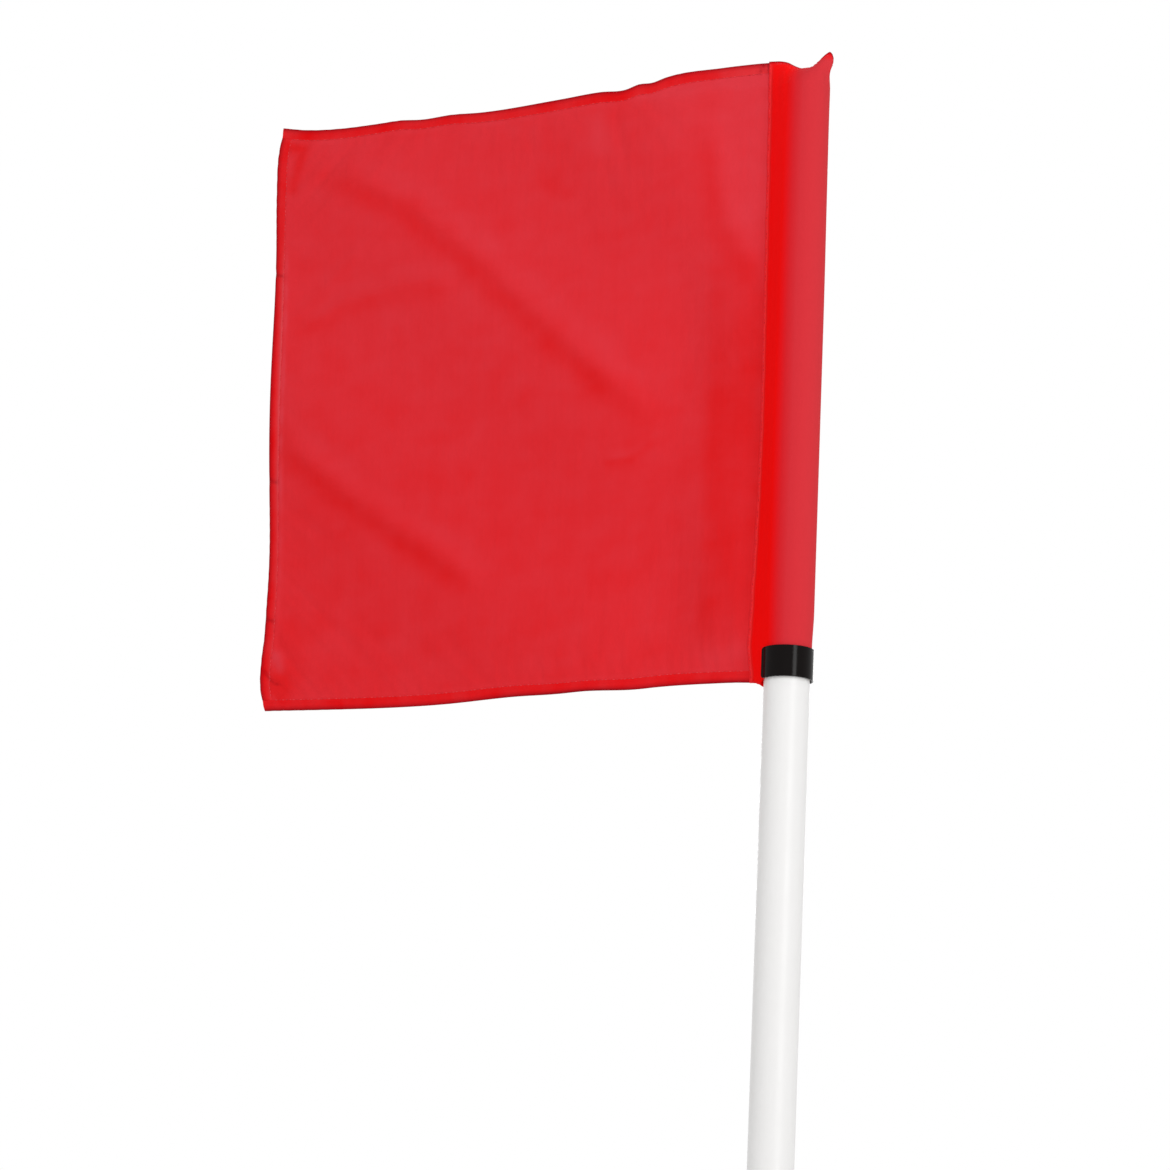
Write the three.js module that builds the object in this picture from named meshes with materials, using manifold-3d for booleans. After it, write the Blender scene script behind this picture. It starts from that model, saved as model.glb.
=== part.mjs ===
// A corner flag on a sprung pole: spike, ground disc, coil spring, tube, clip and sewn flag.
// Millimetres, +Z up. The origin is on the pole's axis at ground level, and the flag flies towards -X.
import * as THREE from "three";
import { mergeVertices } from "three/addons/utils/BufferGeometryUtils.js";
import Module from "manifold-3d";

// Pole
const poleOutside = 32;
const poleWall = 3;
const poleHeight = 1524;
const capDome = 8;
const capSpigot = 20;
const capWall = 2;

// Ground spike and disc
const spikeDiameter = 12;
const spikeLength = 200;
const spikePoint = 30;
const spikeTip = 2;
const collarDiameter = 24;
const collarHeight = 4;
const studDiameter = 8;
const discDiameter = 90;
const discThickness = 5;
const discEdge = 1.5;
const hubDiameter = 40;
const hubHeight = 14;
const hubFlare = 5;

// Coil spring
const wireDiameter = 7;
const coilOutside = 37.5;
const coilPitch = 9;
const climbingTurns = 15;
const hookTurns = 0.4;
const spreadTurns = 0.5;
const hookRadius = 7.7;

// Fasteners of the spring's ends
const washerDiameter = 17;
const washerThickness = 1.6;
const lockWasherDiameter = 14;
const lockWasherThickness = 2;
const lockWasherSlit = 1;
const hexAcrossFlats = 13;
const nutHeight = 6.5;
const boltHeadHeight = 5.3;
const boltLength = 30;
const threadShowing = 2;

// Plug in the foot of the pole
const flangeDiameter = 40;
const plugFlange = 6;
const plugSpigot = 45;
const pinDiameter = 5;
const pinSetBack = 0.7;
const pinFromEnd = 10;
const chamfer = 0.8;

// Clip
const clipHeight = 22;
const clipWall = 1.2;
const clipEdge = 0.35;
const clipMouth = THREE.MathUtils.degToRad(84);
const clipLip = 1.6;
const lipRise = 1.4;

// Flag
const flagHeight = 457;
const flyReachTop = 434;
const flyReachBottom = 419;
const flyDroop = 4;
const cornerCut = 16;
const cornerCutWidth = 5;
const seamReach = 26.5;
const clothThickness = 0.6;
const hemThickness = 1.5;
const hemWidth = 8;
const topSag = 9;
const waveDepth = 3.5;
const waveSpacing = 245;
const seamHoldShare = 0.5;
const sleeveSlack = 1;
const sleeveTaper = 28;
const seamDepth = 3;
const closingAllowance = 6;
const closingReach = 19;
const closingDip = 7;
const earRise = 9;
const earReach = 20;

// Clearances
const fit = 0.3;
const clothFit = 0.2;
const wireFit = 0.3;
const overrun = 10;

// Raw edge of the sleeve's closed end: shares of its width from the seam, and of the ear's rise
const closingEdgeShares = [
  [0, 0.78],
  [0.14, 0.72],
  [0.27, 0.5],
  [0.47, 0],
  [0.7, 0],
  [0.91, 1],
  [1, 0.45],
];
// Heights at which the closing end is shaped, as shares of its own height
const closingShares = [0.35, 0.6, 0.8, 0.93, 1];

// Sides of round pieces
const roundSides = 40;
const smallSides = 24;
const wireSides = 5;
const stepsPerTurn = 8;
const arcSteps = 20;
const sleeveRuns = 2;
const weld = 0.001;

const wasm = await Module();
wasm.setup();

// Colour, roughness and metalness of each real material
const finish = (color, roughness, metalness) =>
  new THREE.MeshStandardMaterial({ color, roughness, metalness });
const whitePvc = () => finish(0xf2f1ef, 0.3, 0);
const blackPlastic = () => finish(0x15110f, 0.35, 0);
const redCloth = () => finish(0xd8262d, 0.85, 0);
const zincSteel = () => finish(0xb9bcc0, 0.35, 0.9);
const springSteel = () => finish(0x4b4d50, 0.45, 0.9);

const cornerFlag = new THREE.Group();
cornerFlag.name = "corner_flag";

function place(name, geometry, material, z = 0) {
  const mesh = new THREE.Mesh(geometry, material);
  mesh.name = name;
  mesh.position.z = z;
  cornerFlag.add(mesh);
  return mesh;
}

// A turned solid about +Z from [radius, z] corners, listed from the lower end outwards and up
function turned(corners, sides = roundSides) {
  const points = corners.map(([r, z]) => new THREE.Vector2(r, z));
  return new THREE.LatheGeometry(points, sides).rotateX(Math.PI / 2);
}

// A turned ring, whose corners close on themselves
function ring(corners, sides = roundSides) {
  return turned([...corners, corners[0]], sides);
}

// Welded copy of a geometry as a solid that can be cut and joined
function solid(geometry) {
  const bare = geometry.clone();
  bare.deleteAttribute("normal");
  bare.deleteAttribute("uv");
  const welded = mergeVertices(bare, weld);
  return new wasm.Manifold(
    new wasm.Mesh({
      numProp: 3,
      vertProperties: new Float32Array(welded.attributes.position.array),
      triVerts: new Uint32Array(welded.index.array),
    }),
  );
}

function geometryOf(body) {
  const mesh = body.getMesh();
  const geometry = new THREE.BufferGeometry();
  geometry.setAttribute("position", new THREE.BufferAttribute(mesh.vertProperties, 3));
  geometry.setIndex(new THREE.BufferAttribute(mesh.triVerts, 1));
  geometry.computeVertexNormals();
  return geometry;
}

// A round rod along Y through a height, for cross holes and pins
function crossRod(diameter, length, z, sides = smallSides) {
  return new THREE.CylinderGeometry(diameter / 2, diameter / 2, length, sides).translate(0, 0, z);
}

// A hexagonal prism whose corners are turned down at both ends, as on a nut or bolt head
function hexagon(height) {
  const corner = hexAcrossFlats / Math.sqrt(3);
  const outline = new THREE.Shape();
  for (let i = 0; i < 6; i += 1) {
    const turn = (i * Math.PI) / 3;
    const [x, y] = [corner * Math.cos(turn), corner * Math.sin(turn)];
    if (i === 0) outline.moveTo(x, y);
    else outline.lineTo(x, y);
  }
  outline.closePath();
  const prism = new THREE.ExtrudeGeometry(outline, { depth: height, bevelEnabled: false });
  const flat = hexAcrossFlats / 2;
  const turnedDown = corner - flat;
  const barrel = turned([
    [0, 0],
    [flat, 0],
    [corner, turnedDown],
    [corner, height - turnedDown],
    [flat, height],
    [0, height],
  ]);
  return solid(prism).intersect(solid(barrel));
}

const studHole = studDiameter / 2 + fit;

function washer(diameter, thickness) {
  const corners = [
    [studHole, 0],
    [diameter / 2, 0],
    [diameter / 2, thickness],
    [studHole, thickness],
  ];
  return ring(corners, smallSides);
}

const flatWasher = () => washer(washerDiameter, washerThickness);

// A lock washer is a hardened ring with a slit through one side
function lockWasher() {
  const slit = new THREE.BoxGeometry(lockWasherDiameter, lockWasherSlit, lockWasherThickness + 2 * overrun);
  slit.translate(lockWasherDiameter / 2, 0, 0);
  return geometryOf(solid(washer(lockWasherDiameter, lockWasherThickness)).subtract(solid(slit)));
}

// Heights of the stack, from the disc up to the tube
const springLow = hubHeight + wireFit + wireDiameter / 2;
const springHigh = springLow + climbingTurns * coilPitch;
const lowerWasherAt = springLow + wireDiameter / 2 + wireFit;
const lowerLockAt = lowerWasherAt + washerThickness;
const nutAt = lowerLockAt + lockWasherThickness;
const studTop = nutAt + nutHeight + threadShowing;
const plugAt = springHigh + wireDiameter / 2 + wireFit;
const upperWasherAt = springHigh - wireDiameter / 2 - wireFit - washerThickness;
const upperLockAt = upperWasherAt - lockWasherThickness;
const boltHeadAt = upperLockAt - boltHeadHeight;
const tubeFoot = plugAt + plugFlange;
const tubeTop = poleHeight - capDome;
const poleRadius = poleOutside / 2;
const bore = poleRadius - poleWall;
const spigotRadius = bore - fit;

// Ground spike: a steel rod with a point, a pressed collar let into the disc and a threaded stud
place(
  "ground_spike",
  turned(
    [
      [0, -spikeLength],
      [spikeTip / 2, -spikeLength],
      [spikeDiameter / 2, spikePoint - spikeLength],
      [spikeDiameter / 2, 0],
      [collarDiameter / 2, 0],
      [collarDiameter / 2, collarHeight],
      [studDiameter / 2, collarHeight],
      [studDiameter / 2, studTop - chamfer],
      [studDiameter / 2 - chamfer, studTop],
      [0, studTop],
    ],
    smallSides,
  ),
  zincSteel(),
);

// Ground disc: moulded, with a rounded rim, a hub that carries the spring and a pocket for the collar
const collarPocket = collarDiameter / 2 + fit;
place(
  "ground_disc",
  ring([
    [studHole, collarHeight],
    [collarPocket, collarHeight],
    [collarPocket, 0],
    [discDiameter / 2 - discEdge, 0],
    [discDiameter / 2, discEdge],
    [discDiameter / 2, discThickness - discEdge],
    [discDiameter / 2 - discEdge, discThickness],
    [hubDiameter / 2 + hubFlare, discThickness],
    [hubDiameter / 2, discThickness + hubFlare],
    [hubDiameter / 2, hubHeight - chamfer],
    [hubDiameter / 2 - chamfer, hubHeight],
    [studHole, hubHeight],
  ]),
  blackPlastic(),
);

// Coil spring: one wire from the hook round the stud, out to the full coil and back to the upper hook
const coilRadius = (coilOutside - wireDiameter) / 2;
const flatTurns = hookTurns + spreadTurns;
const springTurns = climbingTurns + 2 * flatTurns;

function wirePoint(turn) {
  const fromEnd = Math.min(turn, springTurns - turn);
  const spread = THREE.MathUtils.clamp((fromEnd - hookTurns) / spreadTurns, 0, 1);
  const radius = hookRadius + (coilRadius - hookRadius) * spread;
  const climbed = THREE.MathUtils.clamp(turn - flatTurns, 0, climbingTurns);
  const angle = turn * 2 * Math.PI;
  return new THREE.Vector3(
    radius * Math.cos(angle),
    radius * Math.sin(angle),
    springLow + climbed * coilPitch,
  );
}

function wire() {
  const steps = Math.round(springTurns * stepsPerTurn);
  const positions = [];
  const faces = [];
  const centres = [];
  for (let i = 0; i <= steps; i += 1) {
    const turn = (i / steps) * springTurns;
    const centre = wirePoint(turn);
    const near = 1 / (2 * stepsPerTurn);
    const along = wirePoint(Math.min(turn + near, springTurns))
      .sub(wirePoint(Math.max(turn - near, 0)))
      .normalize();
    const across = new THREE.Vector3(centre.x, centre.y, 0).normalize();
    const outward = across.sub(along.clone().multiplyScalar(across.dot(along))).normalize();
    const upward = new THREE.Vector3().crossVectors(outward, along);
    centres.push(centre);
    for (let k = 0; k < wireSides; k += 1) {
      const turnOfSide = (k / wireSides) * 2 * Math.PI;
      const corner = centre
        .clone()
        .addScaledVector(outward, (Math.cos(turnOfSide) * wireDiameter) / 2)
        .addScaledVector(upward, (Math.sin(turnOfSide) * wireDiameter) / 2);
      positions.push(corner.x, corner.y, corner.z);
    }
  }
  for (let i = 0; i < steps; i += 1) {
    for (let k = 0; k < wireSides; k += 1) {
      const a = i * wireSides + k;
      const b = i * wireSides + ((k + 1) % wireSides);
      faces.push(a, a + wireSides, b, b, a + wireSides, b + wireSides);
    }
  }
  for (let k = 1; k < wireSides - 1; k += 1) {
    const last = steps * wireSides;
    faces.push(0, k, k + 1);
    faces.push(last, last + k + 1, last + k);
  }
  const geometry = new THREE.BufferGeometry();
  geometry.setAttribute("position", new THREE.Float32BufferAttribute(positions, 3));
  geometry.setIndex(faces);
  geometry.computeVertexNormals();
  return { geometry, centres };
}

// Least distance between stretches of the wire that lie more than half a turn apart, less its diameter
function leastGap(centres) {
  let least = Infinity;
  const apart = stepsPerTurn / 2;
  for (let i = 0; i < centres.length; i += 1) {
    for (let j = i + apart; j < centres.length; j += 1) {
      least = Math.min(least, centres[i].distanceTo(centres[j]));
    }
  }
  return least - wireDiameter;
}

const spring = wire();
console.log(`coil_spring: least gap to itself ${leastGap(spring.centres).toFixed(2)} mm`);
place("coil_spring", spring.geometry, springSteel());

// Washers and nut on the spike's stud, clamping the lower hook
place("spike_washer", flatWasher(), zincSteel(), lowerWasherAt);
place("spike_lock_washer", lockWasher(), zincSteel(), lowerLockAt);
const nutBore = new THREE.CylinderGeometry(studHole, studHole, 2 * (nutHeight + overrun), smallSides);
place(
  "spike_nut",
  geometryOf(hexagon(nutHeight).subtract(solid(nutBore.rotateX(Math.PI / 2)))),
  zincSteel(),
  nutAt,
);

// Bolt and washers that clamp the upper hook to the plug
place("bolt_washer", flatWasher(), zincSteel(), upperWasherAt);
place("bolt_lock_washer", lockWasher(), zincSteel(), upperLockAt);
const shank = turned(
  [
    [0, boltHeadHeight / 2],
    [studDiameter / 2, boltHeadHeight / 2],
    [studDiameter / 2, boltHeadHeight + boltLength - chamfer],
    [studDiameter / 2 - chamfer, boltHeadHeight + boltLength],
    [0, boltHeadHeight + boltLength],
  ],
  smallSides,
);
place("spring_bolt", geometryOf(hexagon(boltHeadHeight).add(solid(shank))), zincSteel(), boltHeadAt);

// Plug: flange under the tube, spigot inside it, blind hole for the bolt and a cross hole for the pin
const pinAt = tubeFoot + plugSpigot - pinFromEnd;
const boltEnd = boltHeadAt + boltHeadHeight + boltLength;
const pinHole = crossRod(pinDiameter + 2 * fit, poleOutside + 2 * overrun, pinAt);
const plug = turned([
  [0, boltEnd + fit],
  [studHole, boltEnd + fit],
  [studHole, plugAt],
  [flangeDiameter / 2 - chamfer, plugAt],
  [flangeDiameter / 2, plugAt + chamfer],
  [flangeDiameter / 2, tubeFoot - chamfer],
  [flangeDiameter / 2 - chamfer, tubeFoot],
  [spigotRadius, tubeFoot],
  [spigotRadius, tubeFoot + plugSpigot - chamfer],
  [spigotRadius - chamfer, tubeFoot + plugSpigot],
  [0, tubeFoot + plugSpigot],
]);
place("pole_plug", geometryOf(solid(plug).subtract(solid(pinHole))), blackPlastic());

// Cross pin, its ends set back from the tube's surface
const pinLength = poleOutside - 2 * pinSetBack;
place("plug_pin", crossRod(pinDiameter, pinLength, pinAt), zincSteel());

// Pole tube with its cross hole
const tube = ring([
  [bore, tubeFoot],
  [poleRadius, tubeFoot],
  [poleRadius, tubeTop],
  [bore, tubeTop],
]);
place("pole_tube", geometryOf(solid(tube).subtract(solid(pinHole))), whitePvc());

// Cap: a hollow spigot in the tube and a dome over its end
const domeSteps = 5;
const dome = [];
for (let i = 0; i <= domeSteps; i += 1) {
  const rise = (i / domeSteps) * (Math.PI / 2);
  dome.push([poleRadius * Math.cos(rise), tubeTop + capDome * Math.sin(rise)]);
}
dome[domeSteps][0] = 0;
place(
  "pole_cap",
  turned([
    [0, tubeTop],
    [spigotRadius - capWall, tubeTop],
    [spigotRadius - capWall, tubeTop - capSpigot],
    [spigotRadius, tubeTop - capSpigot],
    [spigotRadius, tubeTop],
    ...dome,
  ]),
  blackPlastic(),
);

// Flag heights: the sleeve's closed end sits on the cap, and its raw edge dips there
const closingLow = poleHeight + fit + clothThickness + closingAllowance;
const flagTop = closingLow + closingDip;
const flagFoot = flagTop - flagHeight;
const clipAt = flagFoot;

// Clip: a C that hugs the sleeve, open towards the flag, with lips that turn outwards
const sleeveInClip = poleRadius + clothFit + clothThickness;
const clipInside = sleeveInClip + clothFit;

function clipOutline() {
  const outside = clipInside + clipWall;
  const end = Math.PI - clipMouth / 2;
  const flare = Math.asin(clipLip / outside);
  const outline = new THREE.Shape();
  outline.absarc(0, 0, outside, -end + flare, end - flare, false);
  outline.lineTo((outside + lipRise) * Math.cos(end), (outside + lipRise) * Math.sin(end));
  outline.lineTo((clipInside + lipRise) * Math.cos(end), (clipInside + lipRise) * Math.sin(end));
  outline.absarc(0, 0, clipInside, end - flare, -end + flare, true);
  outline.lineTo((clipInside + lipRise) * Math.cos(end), -(clipInside + lipRise) * Math.sin(end));
  outline.lineTo((outside + lipRise) * Math.cos(end), -(outside + lipRise) * Math.sin(end));
  outline.closePath();
  return outline;
}

place(
  "flag_clip",
  new THREE.ExtrudeGeometry(clipOutline(), {
    depth: clipHeight - 2 * clipEdge,
    curveSegments: roundSides,
    bevelSize: clipEdge,
    bevelOffset: -clipEdge,
    bevelThickness: clipEdge,
    bevelSegments: 1,
  }),
  blackPlastic(),
  clipAt + clipEdge,
);

// Panel surface: u runs from the sleeve's seam to the fly edge and v from the foot to the top
function panelPoint(u, v) {
  const flyReach = THREE.MathUtils.lerp(flyReachBottom, flyReachTop, v);
  const cut = Math.max(0, 1 - (v * flagHeight) / cornerCut) * cornerCutWidth;
  const reach = THREE.MathUtils.lerp(seamReach + fit, flyReach - cut, u);
  const sag = topSag * Math.sin(Math.PI * u) * v;
  const z = flagFoot + flagHeight * v - sag - flyDroop * u * u;
  const slant = (reach - (z - flagFoot)) / waveSpacing;
  const hold = Math.sin((Math.PI / 2) * Math.min(u / seamHoldShare, 1));
  const y = waveDepth * Math.sin(2 * Math.PI * slant) * hold;
  return new THREE.Vector3(-reach, y, z);
}

// A stretch of cloth between two values of u and v, thick across Y
function cloth([uLow, uHigh], [vLow, vHigh], thickness, [columns, rows]) {
  const positions = [];
  const faces = [];
  const at = (i, j, side) => (side * (rows + 1) + j) * (columns + 1) + i;
  for (const side of [-1, 1]) {
    for (let j = 0; j <= rows; j += 1) {
      for (let i = 0; i <= columns; i += 1) {
        const u = THREE.MathUtils.lerp(uLow, uHigh, i / columns);
        const v = THREE.MathUtils.lerp(vLow, vHigh, j / rows);
        const point = panelPoint(u, v);
        positions.push(point.x, point.y + (side * thickness) / 2, point.z);
      }
    }
  }
  const quad = (a, b, c, d) => faces.push(a, b, c, a, c, d);
  for (let j = 0; j < rows; j += 1) {
    for (let i = 0; i < columns; i += 1) {
      quad(at(i, j, 0), at(i, j + 1, 0), at(i + 1, j + 1, 0), at(i + 1, j, 0));
      quad(at(i, j, 1), at(i + 1, j, 1), at(i + 1, j + 1, 1), at(i, j + 1, 1));
    }
    quad(at(0, j, 0), at(0, j, 1), at(0, j + 1, 1), at(0, j + 1, 0));
    quad(at(columns, j, 0), at(columns, j + 1, 0), at(columns, j + 1, 1), at(columns, j, 1));
  }
  for (let i = 0; i < columns; i += 1) {
    quad(at(i, 0, 0), at(i + 1, 0, 0), at(i + 1, 0, 1), at(i, 0, 1));
    quad(at(i, rows, 0), at(i, rows, 1), at(i + 1, rows, 1), at(i + 1, rows, 0));
  }
  const geometry = new THREE.BufferGeometry();
  geometry.setAttribute("position", new THREE.Float32BufferAttribute(positions, 3));
  geometry.setIndex(faces);
  geometry.computeVertexNormals();
  return geometry;
}

const panelReach = flyReachTop - seamReach;
const hemV = hemWidth / flagHeight;
const hemU = hemWidth / panelReach;
const gapV = fit / flagHeight;
const gapU = fit / panelReach;
const panelColumns = 22;
const panelRows = 22;
const hemRows = 1;
place(
  "flag_panel",
  cloth([0, 1 - hemU], [hemV, 1 - hemV], clothThickness, [panelColumns, panelRows]),
  redCloth(),
);
place("top_hem", cloth([0, 1], [1 - hemV + gapV, 1], hemThickness, [panelColumns, hemRows]), redCloth());
place("bottom_hem", cloth([0, 1], [0, hemV - gapV], hemThickness, [panelColumns, hemRows]), redCloth());
place(
  "fly_hem",
  cloth([1 - hemU + gapU, 1], [hemV, 1 - hemV], hemThickness, [hemRows, panelRows]),
  redCloth(),
);

// Sleeve section at one height, from the front layer's seam edge round the pole to the back layer's.
// roundness is 1 round the pole and 0 where the two layers lie flat on each other.
function sleeveSection({ radius, reach, layer, rightReach, roundness }) {
  const tangent = Math.acos(-radius / reach);
  const straight = Math.sqrt(reach * reach - radius * radius);
  const straightShare = straight / (straight + radius * tangent);
  const points = [[-reach, -layer]];
  for (let i = 0; i <= arcSteps; i += 1) {
    const angle = THREE.MathUtils.lerp(-tangent, tangent, i / arcSteps);
    const fromSeam = 1 - Math.abs((2 * i) / arcSteps - 1);
    const flatX = THREE.MathUtils.lerp(-reach, rightReach, straightShare + (1 - straightShare) * fromSeam);
    const flatY = layer * Math.sign(i - arcSteps / 2);
    points.push([
      THREE.MathUtils.lerp(flatX, radius * Math.cos(angle), roundness),
      THREE.MathUtils.lerp(flatY, radius * Math.sin(angle), roundness),
    ]);
  }
  points.push([-reach, layer]);
  return points;
}

// Height of the closed end's raw edge over its lowest run: from the seam into the dip, then the ear
function closingEdge(x) {
  const share = (x + seamReach) / (seamReach + earReach);
  const next = closingEdgeShares.findIndex(([along]) => along >= share);
  const [toAlong, toRise] = closingEdgeShares[Math.max(next, 1)];
  const [fromAlong, fromRise] = closingEdgeShares[Math.max(next, 1) - 1];
  const between = (share - fromAlong) / (toAlong - fromAlong);
  return earRise * THREE.MathUtils.lerp(fromRise, toRise, between);
}

// Levels of one face of the sleeve from the foot up, each a ring of [x, y, z] points
function sleeveLevels(inset, tipBack, layer, closing) {
  const reach = seamReach - tipBack;
  const inClip = sleeveInClip - inset;
  const above = poleRadius + sleeveSlack + clothThickness - inset;
  const level = (radius, z, roundness = 1, rightReach = radius) =>
    sleeveSection({ radius, reach, layer, rightReach, roundness }).map(([x, y]) => [x, y, z]);
  const clipTop = flagFoot + clipHeight;
  const levels = [level(inClip, flagFoot), level(inClip, clipTop)];
  for (let i = 0; i <= sleeveRuns; i += 1) {
    const share = i / sleeveRuns;
    levels.push(level(above, THREE.MathUtils.lerp(clipTop + sleeveTaper, tubeTop, share)));
  }
  for (const share of closingShares) {
    const roundness = Math.sqrt(1 - share * share);
    const rightReach = THREE.MathUtils.lerp(above, closingReach - inset, share);
    levels.push(level(above, tubeTop + closing * share, roundness, rightReach));
  }
  return levels;
}

function sleeve() {
  const outer = sleeveLevels(0, 0, clothThickness, closingLow - closingAllowance - tubeTop);
  const inner = sleeveLevels(clothThickness, seamDepth, fit / 2, capDome + fit);
  const brim = sleeveSection({
    radius: poleRadius + sleeveSlack + clothThickness,
    reach: seamReach,
    layer: clothThickness,
    rightReach: earReach,
    roundness: 0,
  });
  outer.push(brim.map(([x, y]) => [x, y, closingLow + closingEdge(x)]));
  const around = brim.length;
  const positions = [...outer, ...inner].flat(2);
  const faces = [];
  const at = (level, i) => level * around + (i % around);
  const quad = (a, b, c, d) => faces.push(a, b, c, a, c, d);
  const innerFoot = outer.length;
  const innerTop = outer.length + inner.length - 1;
  for (let i = 0; i < around; i += 1) {
    for (let level = 0; level < outer.length - 1; level += 1) {
      quad(at(level, i), at(level, i + 1), at(level + 1, i + 1), at(level + 1, i));
    }
    for (let level = innerFoot; level < innerTop; level += 1) {
      quad(at(level, i), at(level + 1, i), at(level + 1, i + 1), at(level, i + 1));
    }
    quad(at(0, i), at(innerFoot, i), at(innerFoot, i + 1), at(0, i + 1));
  }
  const last = around - 1;
  for (let i = 0; i < last / 2; i += 1) {
    const brimLevel = outer.length - 1;
    const across = last - i;
    if (across - i > 2) {
      quad(at(brimLevel, i), at(brimLevel, i + 1), at(brimLevel, across - 1), at(brimLevel, across));
      quad(at(innerTop, i), at(innerTop, across), at(innerTop, across - 1), at(innerTop, i + 1));
    } else {
      faces.push(at(brimLevel, i), at(brimLevel, i + 1), at(brimLevel, across));
      faces.push(at(innerTop, i), at(innerTop, across), at(innerTop, i + 1));
    }
  }
  const geometry = new THREE.BufferGeometry();
  geometry.setAttribute("position", new THREE.Float32BufferAttribute(positions, 3));
  geometry.setIndex(faces);
  geometry.computeVertexNormals();
  return geometry;
}

place("pole_sleeve", sleeve(), redCloth());

export default cornerFlag;
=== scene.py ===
import math

import bpy
import numpy as np
from mathutils import Matrix, Vector


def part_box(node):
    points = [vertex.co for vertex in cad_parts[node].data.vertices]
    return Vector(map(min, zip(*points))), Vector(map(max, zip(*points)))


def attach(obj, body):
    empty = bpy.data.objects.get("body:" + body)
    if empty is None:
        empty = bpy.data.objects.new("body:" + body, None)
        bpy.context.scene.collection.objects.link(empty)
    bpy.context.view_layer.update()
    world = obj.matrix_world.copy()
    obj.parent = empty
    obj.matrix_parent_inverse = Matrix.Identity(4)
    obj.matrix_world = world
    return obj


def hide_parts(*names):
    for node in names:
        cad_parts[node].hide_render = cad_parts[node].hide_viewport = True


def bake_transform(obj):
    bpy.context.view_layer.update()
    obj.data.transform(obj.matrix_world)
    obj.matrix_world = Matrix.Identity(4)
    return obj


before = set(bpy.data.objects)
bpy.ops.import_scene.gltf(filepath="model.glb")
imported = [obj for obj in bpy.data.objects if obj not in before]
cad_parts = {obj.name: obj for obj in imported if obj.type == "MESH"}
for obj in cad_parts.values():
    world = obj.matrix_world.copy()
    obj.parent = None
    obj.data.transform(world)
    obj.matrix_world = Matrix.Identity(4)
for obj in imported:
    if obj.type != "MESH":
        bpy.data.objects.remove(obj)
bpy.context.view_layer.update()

# The camera stands low and to the right of the pole, a little under the flag, and looks up at it.
# Lengths are in metres, the focal length in pixels of the square picture, the sensor in millimetres.
PICTURE = 1170
FOCAL = 4000
SENSOR = 36
FARTHEST_SEEN = 50
STAND_OFF = 2.716
BELOW_FLAG = 0.566
AZIMUTH, PITCH, YAW, ROLL = (math.radians(angle) for angle in (22.94, 13.03, -3.01, 2.59))

flag_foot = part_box("flag_clip")[0].z
towards_pole = Vector((-math.sin(AZIMUTH), math.cos(AZIMUTH), 0))
rightwards = Vector((math.cos(AZIMUTH), math.sin(AZIMUTH), 0))
upwards = Vector((0, 0, 1))
level_view = towards_pole * math.cos(YAW) + rightwards * math.sin(YAW)
level_right = rightwards * math.cos(YAW) - towards_pole * math.sin(YAW)
forward = level_view * math.cos(PITCH) + upwards * math.sin(PITCH)
pitched_up = upwards * math.cos(PITCH) - level_view * math.sin(PITCH)
view_right = level_right * math.cos(ROLL) + pitched_up * math.sin(ROLL)
view_up = pitched_up * math.cos(ROLL) - level_right * math.sin(ROLL)

bpy.ops.object.camera_add()
camera = bpy.context.object
camera.name = "camera"
camera.data.sensor_width = SENSOR
camera.data.lens = SENSOR * FOCAL / PICTURE
camera.data.clip_end = FARTHEST_SEEN
camera.matrix_world = Matrix((view_right, view_up, -forward)).transposed().to_4x4()
camera.location = -towards_pole * STAND_OFF + upwards * (flag_foot - BELOW_FLAG)
bpy.context.scene.camera = camera
bpy.context.scene.view_settings.view_transform = "Standard"


# Studio: a white surround that lights from all sides, a large soft lamp beside the camera, a smaller
# one to the right that draws the streak on clip and pole, a soft one behind, and a pale paper floor.
# Far off the paper goes over into the white surround, so that no horizon shows.
AMBIENT = 0.65
PAPER_GLOW = 0.06
FLOOR_REACH = 9
FLOOR_NEAR = 0.5
FLOOR_FAR = 2.6


def linear(hex_colour):
    """A written sRGB colour, such as "D8262D", as the linear RGBA that sockets take."""
    channels = (int(hex_colour[i:i + 2], 16) / 255 for i in (0, 2, 4))
    return (*(c / 12.92 if c <= 0.04045 else ((c + 0.055) / 1.055) ** 2.4 for c in channels), 1)


def set_all(thing, settings):
    """Sets several of a thing's properties by their names."""
    for name, value in settings.items():
        setattr(thing, name, value)


def add_node(tree, kind, settings=None, **inputs):
    """A node with its settings. An input takes a value, a hex colour, a socket or a node's first output."""
    node = tree.nodes.new(kind)
    set_all(node, settings or {})
    for name, value in inputs.items():
        key = int(name[1:]) if name[0] == "i" and name[1:].isdigit() else name.replace("_", " ")
        if isinstance(value, bpy.types.Node):
            value = value.outputs[0]
        if isinstance(value, bpy.types.NodeSocket):
            tree.links.new(value, node.inputs[key])
        else:
            node.inputs[key].default_value = linear(value) if isinstance(value, str) else value
    return node


def seen_directly(tree, rays):
    """1 for the named kinds of ray and 0 for all others."""
    path = add_node(tree, "ShaderNodeLightPath").outputs
    seen = path[rays[0]]
    for ray in rays[1:]:
        seen = add_node(tree, "ShaderNodeMath", {"operation": "MAXIMUM"}, i0=seen, i1=path[ray])
    return seen


world = bpy.data.worlds.new("white_studio")
world.use_nodes = True
bpy.context.scene.world = world
sky = world.node_tree
sky.nodes.clear()
seen = seen_directly(sky, ["Is Camera Ray", "Is Glossy Ray", "Is Transmission Ray"])
level = add_node(sky, "ShaderNodeMapRange", Value=seen, To_Min=AMBIENT, To_Max=1)
surround = add_node(sky, "ShaderNodeBackground", Color="FFFFFF", Strength=level)
add_node(sky, "ShaderNodeOutputWorld", Surface=surround)


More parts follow.
